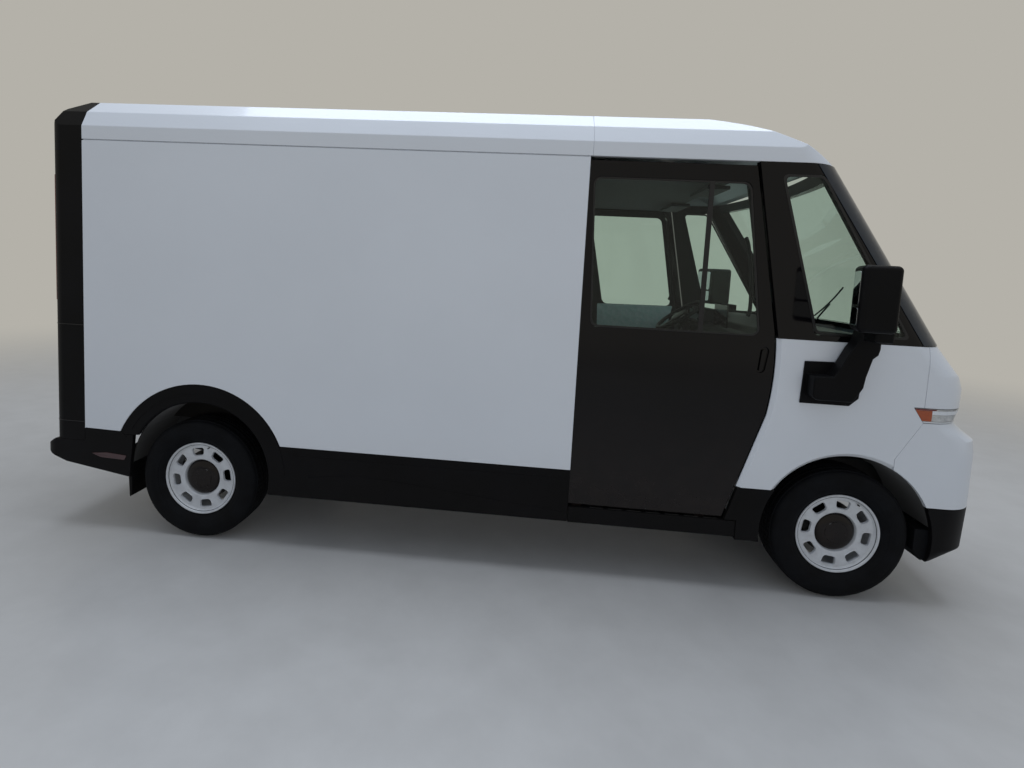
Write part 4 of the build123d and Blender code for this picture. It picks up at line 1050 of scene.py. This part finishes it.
class VanRear(bpy.types.Operator):
    """Black hoop, roll-up door, tail lamps and step bumper"""
    bl_idname = "van.rear"
    bl_label = "Rear end"

    def execute(self, context):
        rounded_copy("rear_surround", MOULDED, 2.5 * MM, merge=0.1 * MM, whole_faces=False)
        seams = [skin_strip("rear_surround", between(y=(-2, -0.90), z=about(level, 2 * MM)), 0.3 * MM, -1.5 * MM,
                            Vector((REAR_X + 1.0, 0, 1.6)), facing=0.1) for level in (0.712, 1.332)]
        make_piece(both_sides(*seams), "hoop_seams", SEAL)
        rounded_copy("roll_up_door", WHITE, 1 * MM)
        rounded_copy("rear_bumper", MOULDED, 4 * MM, merge=0.8 * MM)
        self.shutter(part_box("roll_up_door")[0].x)
        self.lamps(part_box("tail_lamps")[0].x)
        make_piece(plate(HOOP_X + 0.0255, (0.608, 0.747)), "rear_plate", PLATE)
        treads = [bar((REAR_X + 0.013, REAR_X + 0.060), about(-0.78 + 0.13 * i, 0.030), (0.530, 0.560), 4 * MM)
                  for i in range(13)]
        step_rise = 0.55                  # the step climbs this far for each metre forward
        for vert in (vert for tread in treads for vert in tread.verts):
            vert.co.z += step_rise * (vert.co.x - REAR_X) - 0.016
        make_piece(treads, "rear_step_treads", SEAL)
        make_piece([bar((REAR_X + 0.005, REAR_X + 0.02), about(y, 0.05), (0.511, 0.529), 3 * MM)
                    for y in (-0.72, 0.72)], "bumper_reflectors", RED)
        make_piece([bar((HOOP_X - 0.006, HOOP_X + 0.03), (-0.03, 0.03), (2.500, 2.535), 5 * MM),
                    turned([(-0.010, 0.0), (-0.010, 0.008), (0.0, 0.010), (0.0, 0.0)],
                           Vector((HOOP_X + 0.001, 0, 2.517)), axis=(1, 0, 0), steps=24)],
                   "rear_camera", ("piano_black_enamel", "black_moulded"))
        return {"FINISHED"}

    def shutter(self, face):
        """Tracks, foot rail, handle and hinges of the roll-up door"""
        at = (face, 0, 0)
        rails = bar((-0.012, -0.001), (-0.889, -0.845), (0.775, 2.415), 2 * MM, at=at)
        make_piece(both_sides(rails), "shutter_tracks", ALUMINIUM)
        make_piece(bar((-0.014, -0.0005), (-0.840, 0.840), (0.772, 0.842), 3 * MM, at=at), "shutter_foot_rail",
                   ALUMINIUM)
        handle = [bar((-0.045, -0.012), about(y, 0.010), (0.862, 0.880), 4 * MM, at=at) for y in (-0.09, 0.09)]
        handle.append(rod([(face - 0.040, y, 0.871) for y in (-0.105, 0.105)], 8 * MM))
        latch = [bar((-0.022, -0.001), (-0.055, 0.055), (0.930, 1.010), 5 * MM, at=at),
                 turned([(-0.030, 0.0), (-0.030, 0.012), (-0.018, 0.014), (-0.018, 0.0)],
                        Vector((face, 0, 0.970)), axis=(1, 0, 0), steps=32)]
        make_piece(handle + latch, "shutter_handle", ZINC)
        slat = 1.660 / 14                 # one hinge for each slat
        make_piece([bar((-0.006, 0.001), about(y, 0.022), about(0.765 + slat * i, 0.032), 1.5 * MM, at=at)
                    for y in (-0.62, -0.20, 0.20, 0.62) for i in range(2, 14)], "shutter_hinges", ZINC)

    def lamps(self, face):
        """Tail lamps, sunk inside the edge of the hoop so that they don't show from the side"""
        sink = 10 * MM
        rounded_copy("tail_lamps", RED, 1.5 * MM, merge=0.8 * MM,
                     first=lambda bm: bmesh.ops.translate(bm, vec=(sink, 0, 0), verts=bm.verts))
        for z, finish, name in (((1.500, 1.640), "frosted_acrylic", "reversing_lamps"),
                                ((2.100, 2.240), "amber_acrylic", "rear_turn_lamps")):
            cell = bar((0.0005, 0.010), (OUTER_Y + 0.041, OUTER_Y + 0.074), z, 3 * MM, at=(face, 0, 0))
            bmesh.ops.translate(cell, vec=(sink - 0.003, 0, 0), verts=cell.verts)
            make_piece(both_sides(cell), name, (finish, "lamp_red"))
        make_piece([bar((HOOP_X + 0.030, HOOP_X + 0.070), about(y, 0.05), (2.600, 2.628), 6 * MM)
                    for y in (-0.16, 0.0, 0.16)], "high_marker_lamps", RED)


class VanInterior(bpy.types.Operator):
    """Dashboard, steering wheel, bulkhead, linings and floor"""
    bl_idname = "van.interior"
    bl_label = "Cab interior"

    def execute(self, context):
        self.dashboard(FRONT_AXLE_X)
        self.bulkhead(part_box("bulkhead")[1].x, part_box("bulkhead_door")[1].x)
        self.linings(FRONT_AXLE_X)
        return {"FINISHED"}

    def dashboard(self, front):
        at = (front, 0, 0)
        rounded_copy("dashboard", TRIM, 5 * MM, merge=1 * MM)
        hood = slab(shifted(front, 0, (-0.500, 1.470), (-0.470, 1.590), (-0.330, 1.578), (-0.200, 1.470)), "y",
                    0.26, 0.64, 12 * MM, 10 * MM, 3)
        pad = slab(shifted(front, 0, (-0.440, 1.465), (-0.400, 1.520), (-0.200, 1.548), (0.120, 1.535),
                           (0.300, 1.465)), "y", -0.80, 0.80, 12 * MM, 10 * MM, 3)
        stalks = [rod([(front - 0.560, DRIVER_Y, 1.470), (front - 0.572, DRIVER_Y + reach, 1.484)], 7 * MM)
                  for reach in (-0.15, 0.15)]
        vents = [bar((-0.566, -0.535), about(y, 0.075), (1.365, 1.415), 6 * MM, at=at)
                 for y in (-0.72, -0.28, 0.12, 0.74)]
        shelf = bar((-0.560, -0.400), (-0.70, -0.10), (1.110, 1.128), 5 * MM, at=at)
        make_piece([hood, pad, *stalks, *vents, shelf], "dash_details", TRIM)
        make_piece([bar((-0.470, -0.458), (-0.22, 0.06), (1.480, 1.640), 4 * MM, at=at),
                    slab(rectangle((0.300, 0.600), (1.490, 1.570)), "x", front - 0.500, front - 0.470, 12 * MM,
                         1 * MM)], "display_screens", ("piano_black_enamel", "dash_plastic"))
        rounded_copy("steering_wheel", TRIM, 2 * MM, merge=0.3 * MM)
        boss = turned([(-0.004, 0.0), (-0.004, 0.072), (0.006, 0.074), (0.012, 0.066), (0.018, 0.040),
                       (0.019, 0.0)], Vector((0, 0, 0)), axis=(0, 0, 1), steps=48)
        tilt = Matrix.Rotation(math.radians(-35), 4, "Y")
        bmesh.ops.transform(boss, matrix=Matrix.Translation((front - 0.620, DRIVER_Y, BELT_Z + 0.010)) @ tilt,
                            verts=boss.verts)
        make_piece(boss, "steering_wheel_pad", PEDAL, "steering_wheel")

    def bulkhead(self, wall_x, leaf_x):
        leaf = "bulkhead_door"
        at = (leaf_x, 0, 0)
        rounded_copy("bulkhead", LAMINATE, 2 * MM)
        make_piece([bar((wall_x - 0.002, wall_x + 0.010), about(y, 0.02), (0.80, 2.42), 4 * MM)
                    for y in (-0.90, 0.78, 0.90)], "bulkhead_ribs", ALUMINIUM)
        rounded_copy(leaf, LAMINATE, 3 * MM)
        pull = [rod([(leaf_x + 0.030, -0.03, z) for z in (1.30, 1.62)], 9 * MM)]
        pull += [bar((-0.002, 0.034), (-0.042, -0.018), z, 4 * MM, at=at) for z in ((1.30, 1.33), (1.59, 1.62))]
        make_piece(pull, "bulkhead_door_handle", ALUMINIUM, leaf)
        pane = rectangle((-0.46, -0.04), (1.52, 2.06))
        seal = ring_slab((rectangle((-0.49, -0.01), (1.49, 2.09)), 0.05), (pane, 0.04), "x", leaf_x - 1 * MM,
                         leaf_x + 5 * MM, 1.5 * MM)
        make_piece(seal, "bulkhead_window_seal", SEAL, leaf)
        make_piece(slab(pane, "x", leaf_x - 0.5 * MM, leaf_x + 1.5 * MM, 0.04), "bulkhead_window",
                   ("smoked_glass", "glass_tinted"), leaf)

    def linings(self, front):
        at = (front, 0, RAIL_Z)
        lining = bar((0.17, front - 0.66), (-0.955, 0.955), (RAIL_Z - 0.060, RAIL_Z - 0.012), 8 * MM)
        make_piece(lining, "headliner", HEADLINER)
        make_piece([bar((-0.80, -0.66), about(y, 0.20), (-0.100, -0.075), 8 * MM, at=at) for y in (-0.45, 0.45)],
                   "sun_visors", HEADLINER)
        grab = rod([(front - 0.60, -0.950, 1.62), (front - 0.575, -0.925, 1.66), (front - 0.615, -0.925, 2.02),
                    (front - 0.65, -0.950, 2.06)], 11 * MM, flowing=True)
        make_piece(both_sides(grab), "grab_handles", TRIM)
        rounded_copy("floor", ("textured_vinyl", "floor_plastic"), 2 * MM)
        pedals = [slab(rectangle(about(y, 0.03), (0.86, 0.95)), "x", front - 0.52, front - 0.505, 10 * MM, 3 * MM)
                  for y in (0.38, 0.52)]
        stems = [rod([(front - 0.508, y, 0.91), (front - 0.470, y, 1.10)], 6 * MM) for y in (0.38, 0.52)]
        make_piece(pedals + stems, "pedals", PEDAL)


class VanSeat(bpy.types.Operator):
    """Driver's seat: sewn cushions on a pedestal"""
    bl_idname = "van.seat"
    bl_label = "Driver's seat"

    def execute(self, context):
        low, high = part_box("driver_seat")
        back_x, mid_y, deck = low.x + 0.005, (low.y + high.y) / 2, low.z
        at = (back_x, mid_y, deck)
        base = [bar((0.14, 0.55), (-0.18, 0.18), (0, 0.05), 6 * MM, at=at),
                bar((0.18, 0.51), (-0.14, 0.14), (0.04, 0.26), 20 * MM, 4, at=at),
                bar((0.10, 0.60), (-0.235, 0.235), (0.25, 0.31), 14 * MM, 3, at=at)]
        base += [bar((0.06, 0.20), y, (0.28, 0.42), 8 * MM, at=at) for y in ((-0.250, -0.225), (0.225, 0.250))]
        posts = [rod([(back_x + x, mid_y + y, deck + z) for x, z in ((0.065, 0.95), (0.052, 1.06))], 6 * MM)
                 for y in (-0.06, 0.06)]
        make_piece(base + posts, "seat_pedestal", TRIM, stands_for=["driver_seat"])
        for name, half, corner, edge, fill, points in (
                ("seat_cushion", 0.225, 20, 15, 0.6, [(0.105, 0.325), (0.585, 0.325), (0.595, 0.395), (0.105, 0.385)]),
                ("seat_back", 0.220, 20, 15, 0.6, [(0.115, 0.445), (0.200, 0.445), (0.105, 0.990), (0.030, 0.990)]),
                ("seat_headrest", 0.110, 15, 12, 0.8, [(0.020, 1.030), (0.076, 1.030), (0.068, 1.165),
                                                       (0.012, 1.165)])):
            padded(slab(shifted(back_x, deck, *points), "y", *about(mid_y, half), corner * MM, edge * MM, 3),
                   name)
        return {"FINISHED"}


SWELL_STEPS, SWELL_CAP = 20, 14 * MM      # frames of the filling, and the furthest that it may push


def padded(bm, name):
    """Swells a closed form into a sewn cushion."""
    piece = make_piece(bm, name, ("woven_cloth", "seat_fabric"), smooth=60)
    piece.modifiers.clear()
    layer = bpy.context.view_layer
    layer.objects.active = piece
    remesh = piece.modifiers.new("Even mesh", "REMESH")
    remesh.mode, remesh.voxel_size = "VOXEL", 7 * MM
    bpy.ops.object.modifier_apply(modifier=remesh.name)
    start = [vert.co.copy() for vert in piece.data.vertices]
    cloth = piece.modifiers.new("Filling", "CLOTH")
    cloth.settings.use_pressure = True
    cloth.settings.uniform_pressure_force = 4
    cloth.settings.effector_weights.gravity = 0
    for step in range(1, SWELL_STEPS + 1):
        bpy.context.scene.frame_set(step)
    swollen = piece.evaluated_get(bpy.context.evaluated_depsgraph_get()).data
    places = [vert.co.copy() for vert in swollen.vertices]
    piece.modifiers.clear()
    bpy.context.scene.frame_set(1)
    for vert, before, after in zip(piece.data.vertices, start, places):
        move = after - before
        vert.co = before + (move.normalized() * min(move.length, SWELL_CAP) if move.length else move)
    rounder = piece.modifiers.new("Soft surface", "SUBSURF")
    rounder.levels = rounder.render_levels = 1
    bpy.ops.object.modifier_apply(modifier=rounder.name)
    piece.data.shade_smooth()


class VanUnderside(bpy.types.Operator):
    """Rails, battery pack, axles and suspension"""
    bl_idname = "van.underside"
    bl_label = "Underside"

    def execute(self, context):
        rounded_copy("chassis_frame", ("electrocoat", "frame_steel"), 3 * MM, whole_faces=False)
        rounded_copy("battery_pack", ALUMINIUM, 8 * MM)
        low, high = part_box("battery_pack")
        make_piece([bar(about(low.x + 0.15 + 0.22 * i, 0.02), (low.y + 0.02, high.y - 0.02),
                        (low.z - 6 * MM, low.z + 4 * MM), 3 * MM) for i in range(11)], "battery_ribs", ALUMINIUM)
        rounded_copy("rear_axle", COATED, 3 * MM, merge=0.3 * MM)
        rounded_copy("front_suspension", COATED, 3 * MM, merge=0.3 * MM)
        for name, _ in SIDES:
            rounded_copy("knuckle_" + name, IRON, 2 * MM, merge=0.3 * MM)
        tube, stem = ((0.10, 0.34), (0.19, 0.52)), ((0.17, 0.48), (0.24, 0.62))
        damper = [rod([(REAR_AXLE_X - x, -0.40, z) for x, z in ends], radius)
                  for ends, radius in ((tube, 24 * MM), (stem, 14 * MM))]
        make_piece(both_sides(*damper), "rear_dampers", COATED)
        return {"FINISHED"}


# ---- stage ---------------------------------------------------------------------------------
SENSOR = 36.0                           # millimetres across the picture
FLOOR_RADIUS = 60
EYE = Vector((0.2119, -4.2328, 1.8055))
SHIFT = (0.0263, -0.0645)


def place_camera(view):
    camera = bpy.data.cameras.new("camera")
    camera.sensor_width, camera.lens = SENSOR, view.lens
    camera.shift_x, camera.shift_y = SHIFT
    camera.clip_end = 200
    ahead = Vector((-math.sin(view.yaw) * math.cos(view.pitch),
                    math.cos(view.yaw) * math.cos(view.pitch), -math.sin(view.pitch)))
    across = Vector((math.cos(view.yaw), math.sin(view.yaw), 0))
    down = ahead.cross(across)
    right = across * math.cos(view.roll) + down * math.sin(view.roll)
    up = across * math.sin(view.roll) - down * math.cos(view.roll)
    holder = in_scene("camera", camera)
    holder.matrix_world = Matrix.Translation(EYE) @ Matrix((right, up, -ahead)).transposed().to_4x4()
    bpy.context.scene.camera = holder


def studio_light(name, place, aim, size, power, colour, mirrored=True):
    """A large soft box, which polished surfaces may or may not mirror."""
    lamp = bpy.data.lights.new(name, "AREA")
    lamp.shape = "RECTANGLE"
    lamp.size, lamp.size_y = size
    lamp.energy, lamp.color = power, linear(colour)[:3]
    holder = in_scene(name, lamp)
    holder.location = place
    holder.visible_glossy = mirrored
    holder.rotation_euler = (Vector(aim) - Vector(place)).to_track_quat("-Z", "Y").to_euler()


def studio_world(colour):
    """Soft even light; the camera, reflections and glass see the plain pale background."""
    world = bpy.data.worlds.new("studio")
    world.use_nodes = True
    tree = world.node_tree
    tree.nodes.clear()
    path = add(tree, "LightPath").outputs
    seen = path["Is Camera Ray"]
    for ray in ("Is Transmission Ray", "Is Glossy Ray"):
        seen = add(tree, "Math", {0: seen, 1: path[ray]}, operation="MAXIMUM").outputs[0]
    soft = add(tree, "Background", {"Color": linear("DCE8FA"), "Strength": 0.42})
    backdrop = add(tree, "Background", {"Color": linear(colour), "Strength": 1.0})
    mix = add(tree, "MixShader", {0: seen, 1: soft.outputs[0], 2: backdrop.outputs[0]})
    add(tree, "OutputWorld", {"Surface": mix.outputs[0]})
    bpy.context.scene.world = world


def studio_floor():
    bm = bmesh.new()
    bmesh.ops.create_circle(bm, cap_ends=True, radius=FLOOR_RADIUS, segments=96)
    mesh = bpy.data.meshes.new("studio_floor")
    bm.to_mesh(mesh)
    bm.free()
    mesh.materials.append(finish_of("polished_concrete"))
    in_scene("studio_floor", mesh)


class VanStage(bpy.types.Operator):
    """Floor, soft studio light and the camera"""
    bl_idname = "van.stage"
    bl_label = "Stage"

    def execute(self, context):
        scene = context.scene
        scene.view_settings.view_transform = "Standard"
        studio_world(scene.van_colours.ground)
        studio_floor()
        studio_light("overhead_soft_box", (0, -0.2, 7.5), (0, 0, 1.5), (9, 5), 370, "E6F0FF")
        studio_light("side_soft_box", (1.0, -8.5, 2.6), (0, 0, 0.8), (8, 3), 62, "FFFDF8", mirrored=False)
        place_camera(scene.van_camera)
        return {"FINISHED"}


OPERATORS = (VanBody, VanMouldings, VanWheels, VanDoors, VanCabShell, VanLamps, VanMirrors, VanRear,
             VanInterior, VanSeat, VanUnderside, VanStage)


class VanSidebar(bpy.types.Panel):
    """Lists the van's pieces, sizes and colours"""
    bl_idname = "VIEW3D_PT_van"
    bl_label = "Delivery van"
    bl_space_type = "VIEW_3D"
    bl_region_type = "UI"
    bl_category = "Van"

    def draw(self, context):
        for operator in OPERATORS:
            self.layout.operator(operator.bl_idname)
        for name in GROUPS:
            group = getattr(context.scene, name)
            for setting in group.__annotations__:
                self.layout.prop(group, setting)


GROUPS = {"van_sizes": VanSizes, "van_colours": VanColours, "van_camera": VanCamera}
CLASSES = (*GROUPS.values(), *OPERATORS, VanSidebar)


def register():
    for cls in CLASSES:
        bpy.utils.register_class(cls)
    for name, group in GROUPS.items():
        setattr(bpy.types.Scene, name, PointerProperty(type=group))


def unregister():
    for name in GROUPS:
        delattr(bpy.types.Scene, name)
    for cls in reversed(CLASSES):
        bpy.utils.unregister_class(cls)


def main():
    register()
    for operator in OPERATORS:
        group, name = operator.bl_idname.split(".")
        getattr(getattr(bpy.ops, group), name)()


if __name__ == "__main__":
    main()
